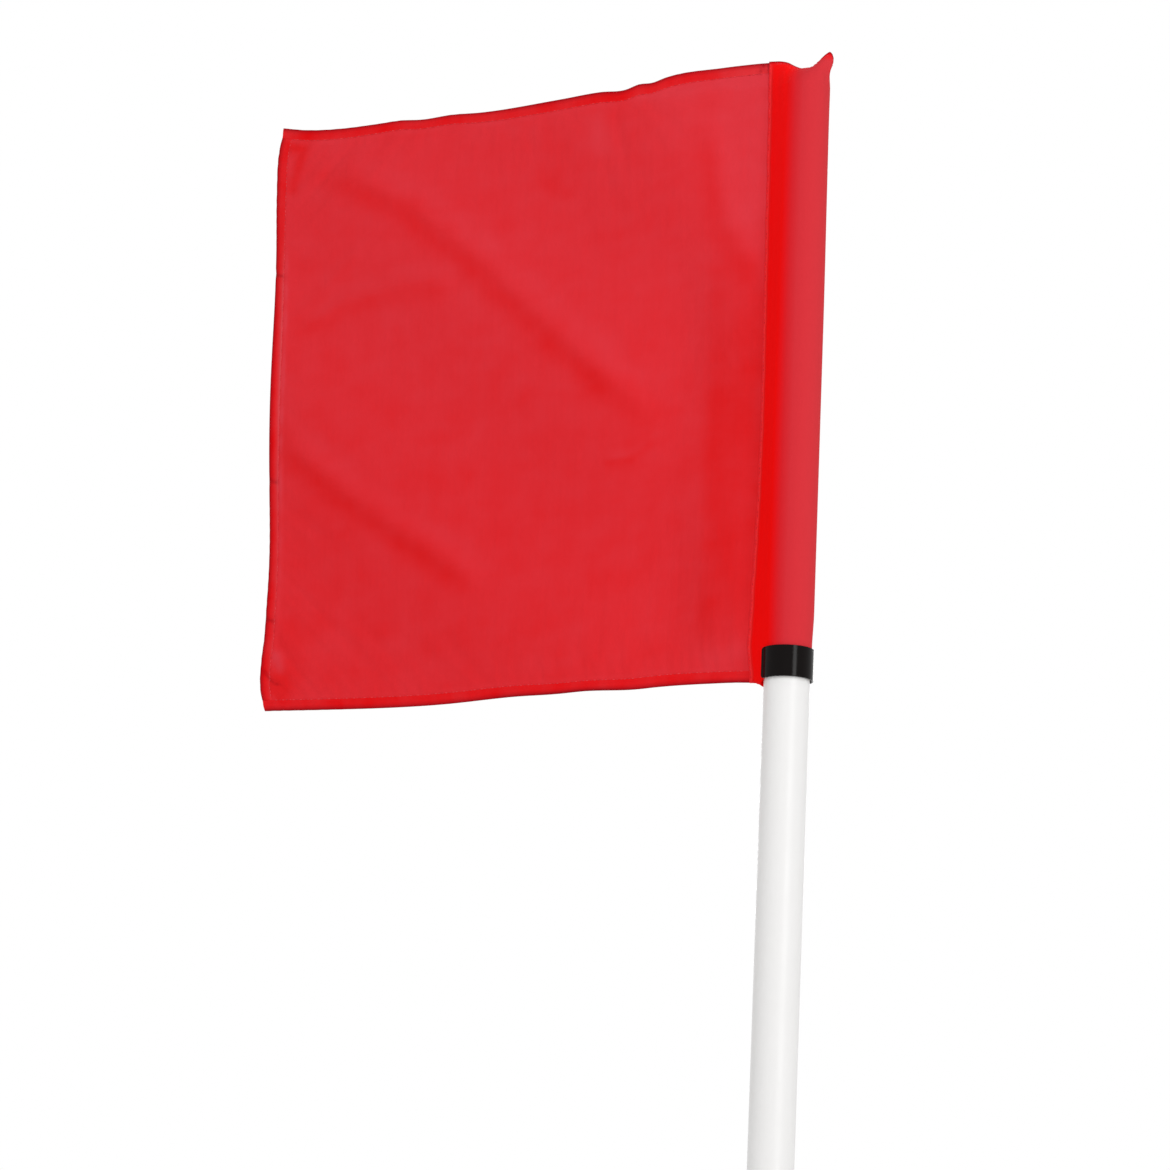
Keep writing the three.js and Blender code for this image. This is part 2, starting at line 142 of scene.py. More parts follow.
def softbox(name, azimuth, height, distance, width, tall, watts):
    """A rectangular lamp that faces the pole. Its azimuth is in degrees, from the front to the right."""
    turn = math.radians(azimuth)
    bpy.ops.object.light_add(type="AREA")
    lamp = bpy.context.object
    lamp.name = name
    lamp.data.shape = "RECTANGLE"
    lamp.data.size = width
    lamp.data.size_y = tall
    lamp.data.energy = watts
    lamp.location = (distance * math.sin(turn), -distance * math.cos(turn), height)
    aim = Vector((0, 0, flag_foot)) - lamp.location
    lamp.rotation_euler = aim.to_track_quat("-Z", "Y").to_euler()


softbox("key_softbox", azimuth=20, height=3.0, distance=3.2, width=1.8, tall=1.4, watts=29)
softbox("streak_softbox", azimuth=55, height=1.35, distance=2.6, width=0.7, tall=0.9, watts=17)
softbox("back_softbox", azimuth=205, height=2.2, distance=3.2, width=1.6, tall=1.6, watts=36)


def empty_material(name):
    """A material with nothing in it yet, and its nodes."""
    material = bpy.data.materials.new(name)
    material.use_nodes = True
    material.node_tree.nodes.clear()
    return material, material.node_tree


bpy.ops.mesh.primitive_circle_add(
    vertices=96, radius=FLOOR_REACH, fill_type="NGON", location=(0, 0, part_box("ground_spike")[0].z)
)
floor = bpy.context.object
floor.name = "studio_floor"
paper, tree = empty_material("white_paper")
seen = seen_directly(tree, ["Is Camera Ray", "Is Glossy Ray"])
glow = add_node(tree, "ShaderNodeMath", {"operation": "MULTIPLY"}, i0=seen, i1=PAPER_GLOW)
near_by = add_node(
    tree, "ShaderNodeBsdfPrincipled",
    Base_Color="F6F6F4", Roughness=0.9, Emission_Color="FFFFFF", Emission_Strength=glow,
)
place = add_node(tree, "ShaderNodeTexCoord").outputs["Object"]
away = add_node(tree, "ShaderNodeVectorMath", {"operation": "LENGTH"}, i0=place).outputs["Value"]
far = add_node(
    tree, "ShaderNodeMapRange", {"interpolation_type": "SMOOTHSTEP"},
    Value=away, From_Min=FLOOR_NEAR, From_Max=FLOOR_FAR,
)
far = add_node(tree, "ShaderNodeMath", {"operation": "MULTIPLY"}, i0=far, i1=seen)
white = add_node(tree, "ShaderNodeEmission", Color="FFFFFF", Strength=1.0)
surface = add_node(tree, "ShaderNodeMixShader", i0=far, i1=near_by, i2=white)
add_node(tree, "ShaderNodeOutputMaterial", Surface=surface)
floor.data.materials.append(paper)


# Ground spike: a 12 mm steel rod, turned to a point, with a pressed collar and an M8 stud, which is
# drawn smooth, as thick as its thread is at the root. The steel is zinc-plated and passivated.
MM = 0.001
SAME_PLACE = 0.01 * MM


def started(name, primitive, scale=(1, 1, 1), **settings):
    """Starts a piece from a primitive, with nothing else selected. Its place goes into its mesh."""
    bpy.ops.object.select_all(action="DESELECT")
    primitive(**settings)
    piece = bpy.context.object
    piece.name = piece.data.name = name
    piece.scale = scale
    bpy.ops.object.transform_apply(location=True, rotation=True, scale=True)
    return piece


def faced_outwards(piece):
    """Turns all faces of a closed piece outwards."""
    bpy.ops.object.mode_set(mode="EDIT")
    bpy.ops.mesh.select_all(action="SELECT")
    bpy.ops.mesh.normals_make_consistent(inside=False)
    bpy.ops.object.mode_set(mode="OBJECT")
    return piece


def spun(name, outline, steps=96):
    """A turned piece: a vertex is extruded along the outline of (radius, height) points and spun about +Z."""
    piece = started(name, bpy.ops.mesh.primitive_plane_add, size=MM)
    bpy.ops.object.mode_set(mode="EDIT")
    bpy.ops.mesh.select_all(action="SELECT")
    bpy.ops.mesh.merge(type="CENTER")
    bpy.ops.transform.translate(value=(outline[0][0], 0, outline[0][1]))
    for (radius, height), (next_radius, next_height) in zip(outline, outline[1:]):
        step = (next_radius - radius, 0, next_height - height)
        bpy.ops.mesh.extrude_region_move(TRANSFORM_OT_translate={"value": step})
    bpy.ops.mesh.select_all(action="SELECT")
    bpy.ops.mesh.spin(steps=steps, angle=2 * math.pi, center=(0, 0, 0), axis=(0, 0, 1))
    bpy.ops.mesh.select_all(action="SELECT")
    bpy.ops.mesh.remove_doubles(threshold=SAME_PLACE)
    bpy.ops.object.mode_set(mode="OBJECT")
    return faced_outwards(piece)


def alone(piece):
    """Selects one piece and makes it active, for the operators."""
    bpy.ops.object.select_all(action="DESELECT")
    piece.select_set(True)
    bpy.context.view_layer.objects.active = piece


def applied(piece, kind, **settings):
    """Adds a modifier with its settings and applies it."""
    alone(piece)
    modifier = piece.modifiers.new(kind.lower(), kind)
    set_all(modifier, settings)
    bpy.ops.object.modifier_apply(modifier=modifier.name)
    return piece


def rounded(piece, width, segments=3, angle=30):
    """Rounds every edge sharper than the angle. Large faces keep their own shading beside the small ones."""
    limit = math.radians(angle)
    applied(piece, "BEVEL", width=width, segments=segments, limit_method="ANGLE", angle_limit=limit)
    bpy.ops.object.shade_smooth_by_angle(angle=limit)
    return applied(piece, "WEIGHTED_NORMAL", keep_sharp=True)


def dressed(piece, material, body=None, replaces=()):
    """Gives a finished piece its material and its body, and hides the nodes that it stands for."""
    piece.data.materials.clear()
    piece.data.materials.append(material)
    if body:
        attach(piece, body)
    if replaces:
        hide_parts(*replaces)
    return piece


def surfaced(material, **inputs):
    """Ends a material with its shader. Uniform values are set on the shader's own sockets."""
    principled = add_node(material.node_tree, "ShaderNodeBsdfPrincipled", **inputs)
    add_node(material.node_tree, "ShaderNodeOutputMaterial", Surface=principled)
    return material


TWO_COLOURS = {"data_type": "RGBA"}


def hard_finish(name, patches, grain, colours, roughness, relief, streaked=False, **inputs):
    """A hard surface: cloudy patches vary its colour and roughness, and a fine grain gives it relief.
    Patches and grain are noise: size in mm, detail, roughness, and scale up the piece. Relief is in mm."""
    material, tree = empty_material(name)
    place = add_node(tree, "ShaderNodeTexCoord").outputs["Object"]
    noises = []
    for size, detail, rough, upright in (patches, grain):
        laid = add_node(tree, "ShaderNodeMapping", Vector=place, Scale=(1, 1, upright))
        noise = add_node(
            tree, "ShaderNodeTexNoise", Vector=laid, Scale=1 / (size * MM), Detail=detail, Roughness=rough
        )
        noises.append(noise.outputs["Fac"])
    tone, fine = noises
    dull = add_node(tree, "ShaderNodeMapRange", Value=tone, To_Min=roughness[0], To_Max=roughness[1])
    if streaked:
        both = add_node(tree, "ShaderNodeMix", Factor=0.5, i2=tone, i3=fine)
        tone = add_node(tree, "ShaderNodeMapRange", Value=both, To_Min=-0.5, To_Max=1.5)
    colour = add_node(tree, "ShaderNodeMix", TWO_COLOURS, Factor=tone, i6=colours[0], i7=colours[1])
    bump = add_node(tree, "ShaderNodeBump", Height=fine, Distance=relief * MM, Strength=1.0)
    return surfaced(material, Base_Color=colour.outputs[2], Roughness=dull, Normal=bump, **inputs)


# Bright zinc on drawn steel, passivated: a cool grey, cloudy at a millimetre or two, with faint
# drawing lines along the rod.
zinc = hard_finish(
    "zinc_plated_steel", patches=(1.4, 3, 0.5, 1), grain=(0.3, 2, 0.5, 0.03), colours=("83888D", "C6C9CC"),
    roughness=(0.25, 0.45), relief=0.02, streaked=True, Metallic=1.0,
)

spike_low, spike_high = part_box("ground_spike")
disc_low, disc_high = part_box("ground_disc")
ROD = 6 * MM
TIP = 1 * MM
POINT = 30 * MM
COLLAR = 12 * MM
COLLAR_TALL = 4 * MM
STUD = 3.32 * MM
LEAD_IN = 0.8 * MM
spike = spun("ground_spike_steel", [
    (0, spike_low.z),
    (TIP / 2, spike_low.z),
    (TIP, spike_low.z + TIP / 2),
    (ROD, spike_low.z + POINT),
    (ROD, 0),
    (COLLAR, 0),
    (COLLAR, COLLAR_TALL),
    (STUD, COLLAR_TALL),
    (STUD, spike_high.z - LEAD_IN / 2),
    (STUD - LEAD_IN / 2, spike_high.z),
    (0, spike_high.z),
])
rounded(spike, 0.4 * MM)
dressed(spike, zinc, "foot", ["ground_spike"])


# Ground disc: black polypropylene, moulded in one with the hub that carries the spring.
# The mould is spark-eroded, so the skin is finely grained and takes a soft, wide shine.
DISC = 45 * MM
RIM = 1.5 * MM
DISC_THICK = 5 * MM
HUB = 20 * MM
HUB_FLARE = 5 * MM
STUD_HOLE = 4.3 * MM
COLLAR_ROOM = 12.3 * MM


def quarter_turn(centre, radius, start, end, steps=8):
    """Points on an arc of a turned outline, between two angles in degrees."""
    angles = np.radians(np.linspace(start, end, steps + 1))
    return [(centre[0] + radius * math.cos(a), centre[1] + radius * math.sin(a)) for a in angles]


# Black polypropylene from a spark-eroded mould, a little greyer and rougher where turf has rubbed it.
polypropylene = hard_finish(
    "grained_polypropylene", patches=(18, 5, 0.7, 1), grain=(0.5, 2, 0.5, 1), colours=("121110", "242322"),
    roughness=(0.42, 0.62), relief=0.06, IOR=1.49, Specular_IOR_Level=0.25,
)
top_of_flare = disc_low.z + DISC_THICK + HUB_FLARE
disc = spun("ground_disc_moulding", [
    (STUD_HOLE, COLLAR_TALL),
    (COLLAR_ROOM, COLLAR_TALL),
    (COLLAR_ROOM, disc_low.z),
    *quarter_turn((DISC - RIM, disc_low.z + RIM), RIM, -90, 0, 4),
    *quarter_turn((DISC - RIM, disc_low.z + DISC_THICK - RIM), RIM, 0, 90, 4),
    *quarter_turn((HUB + HUB_FLARE, top_of_flare), HUB_FLARE, 270, 180),
    (HUB, disc_high.z),
    (STUD_HOLE, disc_high.z),
    (STUD_HOLE, COLLAR_TALL),
])
rounded(disc, 0.6 * MM, angle=50)
dressed(disc, polypropylene, "foot", ["ground_disc"])


# Coil spring: 7 mm oil-tempered steel wire, wound cold, with both ends curled in to a hook.
# It is made as two halves, the lower and the upper.
WIRE = 7 * MM
COIL = 15.25 * MM
HOOK = 7.7 * MM
HOOK_TURNS = 0.4
SPREAD_TURNS = 0.5
STEPS_PER_TURN = 48
spring_low, spring_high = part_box("coil_spring")
coil_foot = spring_low.z + WIRE / 2
coil_top = spring_high.z - WIRE / 2
CLIMBING_TURNS = 15


def rising(value, low, high):
    """Goes smoothly from 0 to 1 as a value goes from low to high."""
    t = np.clip((value - low) / (high - low), 0, 1)
    return t * t * (3 - 2 * t)


def wire_stretch(name, first, last):
    """The wire between two shares of its length, as a curve with a round bevel, made into a mesh."""
    flat_turns = HOOK_TURNS + SPREAD_TURNS
    all_turns = CLIMBING_TURNS + 2 * flat_turns
    steps = round((last - first) * all_turns * STEPS_PER_TURN)
    turns = np.linspace(first * all_turns, last * all_turns, steps + 1)
    radius = HOOK + (COIL - HOOK) * rising(np.minimum(turns, all_turns - turns), HOOK_TURNS, flat_turns)
    climb = np.clip((turns - flat_turns) / CLIMBING_TURNS, 0, 1)
    height = coil_foot + (coil_top - coil_foot) * climb
    line = bpy.data.curves.new(name, "CURVE")
    line.dimensions = "3D"
    line.bevel_depth = WIRE / 2
    line.bevel_resolution = 6
    line.use_fill_caps = True
    spline = line.splines.new("POLY")
    spline.points.add(len(turns) - 1)
    for point, r, a, z in zip(spline.points, radius, 2 * math.pi * turns, height):
        point.co = (r * math.cos(a), r * math.sin(a), z, 1)
    piece = bpy.data.objects.new(name, line)
    bpy.context.collection.objects.link(piece)
    alone(piece)
    bpy.ops.object.convert(target="MESH")
    bpy.ops.object.shade_smooth_by_angle(angle=math.radians(50))
    return bpy.context.object


# Oil-tempered wire: a blue-black scale, darker in patches, with small pits and a dull oily shine.
spring_steel = hard_finish(
    "oil_tempered_steel", patches=(3, 6, 0.65, 1), grain=(0.4, 2, 0.5, 1), colours=("26282B", "5C5E61"),
    roughness=(0.26, 0.46), relief=0.015, Metallic=0.85,
)
coil_middle = (coil_foot + coil_top) / 2
for name, share, below, above, low, high in (
    ("spring_lower_half", 0, "foot", "spring", coil_foot, coil_middle),
    ("spring_upper_half", 0.5, "spring", "pole", coil_middle, coil_top),
):
    half = dressed(wire_stretch(name, share, share + 0.5), spring_steel)
    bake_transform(half)
    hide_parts("coil_spring")


# Washers, nut and bolt: M8, zinc-plated. A plain washer bears on each hook of the spring, a split
# spring washer on it, then the nut below and the bolt's head above.
WASHER = 8.5 * MM
LOCK_WASHER = 7 * MM
SLIT = 0.14
ACROSS_FLATS = 13 * MM
TURNED_DOWN = 0.8
HEAD_TALL = 5.3 * MM


def ring_outline(inner, outer, low, high):
    """The outline of a plain ring: a rectangle beside the axis."""
    return [(inner, low), (outer, low), (outer, high), (inner, high), (inner, low)]


def flat_washer(name, node, body):
    """A flat ring in the box of a washer's node."""
    low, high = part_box(node)
    piece = spun(name, ring_outline(STUD_HOLE, WASHER, low.z, high.z), 72)
    dressed(rounded(piece, 0.2 * MM, 2), zinc, body, [node])


def swept(name, wide, tall, centre, start, angle, steps, up=1):
    """A bar of rectangular section: the section is turned to its start about +Z and spun from there."""
    piece = started(
        name, bpy.ops.mesh.primitive_plane_add, (wide, tall, 1),
        size=1, rotation=(math.pi / 2, 0, 0), location=centre,
    )
    bpy.ops.object.mode_set(mode="EDIT")
    bpy.ops.mesh.select_all(action="SELECT")
    bpy.ops.transform.rotate(value=start, orient_axis="Z", center_override=(0, 0, 0))
    bpy.ops.mesh.spin(steps=steps, angle=angle, center=(0, 0, 0), axis=(0, 0, up))
    bpy.ops.object.mode_set(mode="OBJECT")
    return piece


def spring_washer(name, node, body):
    """A square section, swept just short of a full turn."""
    low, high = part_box(node)
    centre = ((LOCK_WASHER + STUD_HOLE) / 2, 0, (low.z + high.z) / 2)
    piece = swept(name, LOCK_WASHER - STUD_HOLE, high.z - low.z, centre, -SLIT / 2, 2 * math.pi - SLIT, 64)
    rounded(faced_outwards(piece), 0.15 * MM, 2)
    dressed(piece, zinc, body, [node])


def cut(piece, tool, operation="DIFFERENCE"):
    """Cuts a piece with a tool, and throws the tool away."""
    applied(piece, "BOOLEAN", object=tool, operation=operation, solver="EXACT")
    bpy.data.objects.remove(tool)
    return piece


def hexagon(name, low, high):
    """A hexagonal prism whose corners are turned down, cut from a six-sided cylinder by a turned barrel."""
    corner = ACROSS_FLATS / math.sqrt(3)
    turned_down = (corner - ACROSS_FLATS / 2) * TURNED_DOWN
    barrel = spun("barrel", [
        (0, low),
        (ACROSS_FLATS / 2, low),
        (corner, low + turned_down),
        (corner, high - turned_down),
        (ACROSS_FLATS / 2, high),
        (0, high),
    ])
    prism = started(
        name, bpy.ops.mesh.primitive_cylinder_add, vertices=6, radius=corner, depth=high - low,
        location=(0, 0, (low + high) / 2), rotation=(0, 0, math.pi / 6),
    )
    return cut(prism, barrel, "INTERSECT")


flat_washer("spike_flat_washer", "spike_washer", "foot")
flat_washer("bolt_flat_washer", "bolt_washer", "pole")
spring_washer("spike_spring_washer", "spike_lock_washer", "foot")
spring_washer("bolt_spring_washer", "bolt_lock_washer", "pole")

nut_low, nut_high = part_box("spike_nut")
nut = hexagon("spike_hex_nut", nut_low.z, nut_high.z)
hole = spun("nut_hole", [
    (0, nut_low.z - LEAD_IN),
    (STUD_HOLE + 2 * LEAD_IN, nut_low.z - LEAD_IN),
    (STUD_HOLE, nut_low.z + LEAD_IN),
    (STUD_HOLE, nut_high.z - LEAD_IN),
    (STUD_HOLE + 2 * LEAD_IN, nut_high.z + LEAD_IN),
    (0, nut_high.z + LEAD_IN),
])
rounded(cut(nut, hole), 0.15 * MM, 2)
dressed(nut, zinc, "foot", ["spike_nut"])

bolt_low, bolt_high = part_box("spring_bolt")
bolt = hexagon("spring_hex_bolt", bolt_low.z, bolt_low.z + HEAD_TALL)
rounded(bolt, 0.15 * MM, 2)
shank = spun("bolt_shank", [
    (0, bolt_low.z + HEAD_TALL / 2),
    (STUD, bolt_low.z + HEAD_TALL / 2),
    (STUD, bolt_high.z - LEAD_IN),
    (STUD - LEAD_IN, bolt_high.z),
    (0, bolt_high.z),
])
alone(bolt)
shank.select_set(True)
bpy.ops.object.join()
dressed(bolt, zinc, "pole", ["spring_bolt"])


# Pole plug and its cross pin: a black nylon plug, pushed into the tube's foot, flange under the end,
# and held by a steel pin driven through tube and plug from front to back.
SPIGOT = 12.7 * MM
FLANGE = 20 * MM
PIN = 2.5 * MM
PIN_HOLE = 2.8 * MM
plug_low, plug_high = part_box("pole_plug")
tube_low, tube_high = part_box("pole_tube")
pin_low, pin_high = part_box("plug_pin")
pin_height = (pin_low.z + pin_high.z) / 2
bolt_room = bolt_high.z + 0.3 * MM


def cross_rod(name, radius, back, front):
    """A rod from front to back through the pole's axis at the pin's height."""
    return started(
        name, bpy.ops.mesh.primitive_cylinder_add, vertices=64, radius=radius, depth=front - back,
        rotation=(math.pi / 2, 0, 0), location=(0, (front + back) / 2, pin_height),
    )


def drilled(piece):
    """Bores the pin's hole through a piece."""
    return cut(piece, cross_rod("drill", PIN_HOLE, -2 * FLANGE, 2 * FLANGE))


# Black nylon from a polished mould: smooth and nearly even, with a tight shine.
nylon = hard_finish(
    "moulded_nylon", patches=(18, 5, 0.7, 1), grain=(0.45, 2, 0.5, 1), colours=("0A0505", "0F0B0A"),
    roughness=(0.12, 0.18), relief=0.014, IOR=1.49, Specular_IOR_Level=0.08,
)
plug = spun("pole_plug_moulding", [
    (0, bolt_room),
    (STUD_HOLE, bolt_room),
    (STUD_HOLE, plug_low.z),
    (FLANGE, plug_low.z),
    (FLANGE, tube_low.z),
    (SPIGOT, tube_low.z),
    (SPIGOT, plug_high.z),
    (0, plug_high.z),
])
rounded(drilled(plug), 0.7 * MM, angle=50)
dressed(plug, nylon, "pole", ["pole_plug"])
pin = rounded(cross_rod("plug_cross_pin", PIN, pin_low.y, pin_high.y), 0.5 * MM)
dressed(pin, zinc, "pole", ["plug_pin"])


# Pole tube: white PVC, extruded, 32 mm across with a 3 mm wall, and cut square at both ends.
# Extruding leaves a smooth half-gloss skin with very faint lines along it. Turf scuffs dull its foot.
TUBE = 16 * MM
BORE = 13 * MM
# The skin is even in colour, with long faint die lines and small dull scuffs.
pvc = hard_finish(
    "extruded_white_pvc", patches=(9, 8, 0.75, 0.25), grain=(1.6, 2, 0.5, 0.004),
    colours=("EBEAEA", "E7E6E5"), roughness=(0.22, 0.5), relief=0.02, IOR=1.53, Specular_IOR_Level=0.3,
)
tube = spun("pole_tube_pvc", ring_outline(BORE, TUBE, tube_low.z, tube_high.z), 128)
rounded(drilled(tube), 0.35 * MM)
dressed(tube, pvc, "pole", ["pole_tube"])


# Pole cap: a black nylon plug with a shallow dome, pushed into the tube's top end. The flag hides it
# until the flag is drawn off.
CAP_WALL = 2 * MM
cap_low, cap_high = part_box("pole_cap")
dome_tall = cap_high.z - tube_high.z
dome = [
    (TUBE * math.cos(a), tube_high.z + dome_tall * math.sin(a)) for a in np.linspace(0, math.pi / 2, 17)[:-1]
]
cap = spun("pole_cap_moulding", [
    (0, tube_high.z),
    (SPIGOT - CAP_WALL, tube_high.z),
    (SPIGOT - CAP_WALL, cap_low.z),
    (SPIGOT, cap_low.z),
    (SPIGOT, tube_high.z),
    *dome,
    (0, cap_high.z),
])
rounded(cap, 0.4 * MM, angle=60)
dressed(cap, nylon, "pole", ["pole_cap"])


# Flag panel: red woven polyester, cut square, hemmed on three sides and sewn to its own sleeve.
# The edges are measured from the photograph, in millimetres of reach from the pole's axis and of
# height over the flag's foot. The cloth is simulated, so that the sewn rows gather it.
TOP_EDGE = [
    (24, 457.4), (66, 457.4), (110, 454.6), (121, 451.6), (131, 451.6), (142, 448.6), (162, 449.2),
    (197, 447.6), (264, 446.4), (288, 447.8), (314, 446.8), (331, 448), (352, 447), (377, 446.3),
    (408, 448), (434, 452.6),
]
BOTTOM_EDGE = [
    (24, 0), (44, 0.9), (97, 1.1), (120, -0.3), (155, -0.4), (174, -1.3), (212, -1.4), (269, -3.9),
    (365, -4.3), (398, -3.9), (434, -3.2),
]
FLY_EDGE = [
    (-4, 413.6), (17, 420), (40, 421), (58, 420.3), (69, 420.7), (113, 421.7), (187, 425), (260, 428.2),
    (355, 432.5), (406, 434.2), (436, 433.8), (453, 431),
]
SEAM = [
    (0, 26.5), (8, 26.5), (15, 27.8), (56, 27.7), (110, 25.9), (182, 24.9), (256, 25.6), (402, 27.3),
    (457, 28),
]
# A crease has a route, a width, the rise of the fold beside it, and how much shade is painted in it as deep
# red, with painted sheen beside it.
CREASES = [
    ([(420, 418), (393, 408), (319, 370), (265, 326), (204, 270), (151, 222), (96, 178)], 10, 2.8, 0.95),
    ([(425, 205), (397, 181), (358, 151), (313, 121), (265, 90), (235, 70)], 9, 2.4, 0.9),
    ([(424, 280), (372, 302), (318, 311), (270, 306)], 8, 1.0, 0.6),
    ([(420, 288), (355, 350)], 6, 0.6, 0.5),
    ([(152, 166), (127, 168), (106, 184)], 3, 0.3, 0.6),
    ([(82, 425), (71, 371), (64, 335), (52, 312), (24, 282)], 9, 1.0, 0.8),
]
FADE = 0.18
# How much sheen is painted as a pale line beside the fly hem, by height.
FLY_PAINTED_SHEEN = [(0, 0.45), (100, 0.5), (150, 0.85), (330, 1), (375, 0.15), (457, 0.1)]
PUCKERS = [
    [(28, 458), (31, 449)],
    [(33, 458), (37, 450)],
    [(436, 337), (425, 334)],
    [(431, 176), (418, 172)],
    [(421, 68), (413, 65)],
    [(417, 27), (413, 22), (409, 18), (405, 17)],
]
# A painted shade has a route, a width, and how much shade is painted there as deep red; below 0 it is pale
# painted sheen instead.
PAINTED_SHADES = [
    ([(44, 445), (36, 350)], 22, -1.1),
    ([(100, 440), (84, 410)], 20, -0.6),
    ([(166, 428), (160, 404)], 9, -0.7),
    ([(210, 391), (190, 376)], 8, 0.6),
    ([(424, 436), (412, 432), (420, 402)], 5, 1.5),
    ([(429, 447), (420, 447)], 4, -1.4),
    ([(62, 453), (28, 453)], 6, -3.0),
    ([(54, 446), (28, 446)], 5, -0.9),
    ([(130, 441), (50, 445)], 5, -0.6),
    ([(64, 300), (58, 120)], 12, 0.3),
    ([(408, 38), (405, 29)], 4.5, -2.0),
    ([(417, 24), (404, 8)], 10, 1.3),
    ([(30, 443), (37, 446)], 3.5, -1.5),
    ([(36, 260), (34, 170)], 13, 0.3),
    ([(60, 16), (38, 24)], 9, -1.0),
    ([(400, 60), (404, 20)], 14, 0.6),
]
UP_RIGHT = (0.61, 0.79)
FLAG_HIGH = 457
CELL = 4.1
HEM_CELLS = 2
HEM_WIDE = HEM_CELLS * CELL
# The painted sheen, paler towards the top: its tone at the foot, what the top adds and between which heights,
# and where its pale lines lie beside creases and hems.
FOOT_TONE, TOP_PAINTED_SHEEN, PAINTED_SHEEN_GROWS = 0.4, 0.53, (120, 330)
PAINTED_SHEEN_BESIDE_CREASE = 2.2
TOP_HEM_PAINTED_SHEEN, BOTTOM_HEM_PAINTED_SHEEN, FLY_HEM_PAINTED_SHEEN = 0.35, 0.2, 1.3
PAINTED_SHEEN_PAST_HEM, PAINTED_SHEEN_WIDE = 1.4, 2
# The waves: a roll that slants up the panel, a bow beside the sleeve, and a lift at the top.
ROLL, ROLL_LONG, ROLL_SLANT, ROLL_START = 2.6, 260, 1.2, 40
BOW, BOW_REACH, BOW_WIDE, BOW_ENDS, BOW_FADES = 5, 88, 42, 300, 40
LIFT, LIFT_REACH, LIFT_WIDE, LIFT_HEIGHT, LIFT_TALL = -4, 90, 60, 430, 90
SEAM_REACH, SEAM_WIDE = 26, 9
DART, DART_WIDE = 0.9, 1.9
# The simulated cloth: how much the sewn rows shrink, and how firmly its edges and middle are held.
CLOTH = {
    "shrink_max": 0.012, "shrink_min": 0, "mass": 0.1, "tension_stiffness": 12, "compression_stiffness": 12,
    "shear_stiffness": 4, "bending_stiffness": 0.05, "pin_stiffness": 0.8, "quality": 6,
}
HELD_AT_EDGE, HELD_INSIDE = 0.5, 0.12
CLOTH_STEPS = 15
MOST_MOVED = 3 * MM


def through(points, at):
    """A smooth line through chosen (place, value) points, read at many places."""
    places, values = (np.array(column, float) for column in zip(*points))
    slopes = np.gradient(values, places)
    at = np.clip(at, places[0], places[-1])
    i = np.clip(np.searchsorted(places, at) - 1, 0, len(places) - 2)
    span = places[i + 1] - places[i]
    t = (at - places[i]) / span
    rise = values[i] + (values[i + 1] - values[i]) * rising(t, 0, 1)
    return rise + t * (1 - t) * span * ((1 - t) * slopes[i] - t * slopes[i + 1])


def hump(value, centre, width):
    """One at a centre and less beside it, down to nothing."""
    return np.exp(-(((value - centre) / width) ** 2))


def wavering(along, length, swing, over):
    """A ripple from -1 to 1 whose length swings, as where cloth is fed by hand."""
    return np.sin(along / length + swing * np.sin(along / over))


def soft_line(reach, height, route, width, fade=0):
    """One along a line of (reach, height) points, and less beside it, down to nothing. Its ends may fade."""
    nearest = np.full(np.shape(reach), np.inf)
    run = np.zeros(np.shape(reach))
    lengths = [math.dist(start, end) for start, end in zip(route, route[1:])]
    for i, ((x0, z0), (x1, z1)) in enumerate(zip(route, route[1:])):
        along = np.clip(((reach - x0) * (x1 - x0) + (height - z0) * (z1 - z0)) / lengths[i] ** 2, 0, 1)
        away = np.hypot(reach - x0 - along * (x1 - x0), height - z0 - along * (z1 - z0))
        run = np.where(away < nearest, (sum(lengths[:i]) + along * lengths[i]) / sum(lengths), run)
        nearest = np.minimum(nearest, away)
    line = hump(nearest, 0, width)
    return line * rising(run, 0, fade) * rising(1 - run, 0, fade) if fade else line


def folds(reach, height):
    """The soft folds' ridges towards the viewer, in millimetres, each beside its crease and above it."""
    ridge = np.zeros(np.shape(reach))
    for route, width, rise, _ in CREASES:
        right, up = (width * share for share in UP_RIGHT)
        ridge += rise * soft_line(reach + right, height - up, route, width, FADE)
    return ridge


def free_edges(reach, height):
    """For the top, bottom and fly edges: how far inside the edge a point lies, and how far along it."""
    return (
        (through(TOP_EDGE, reach) - height, reach),
        (height - through(BOTTOM_EDGE, reach), reach + 31),
        (through(FLY_EDGE, height) - reach, height),
    )


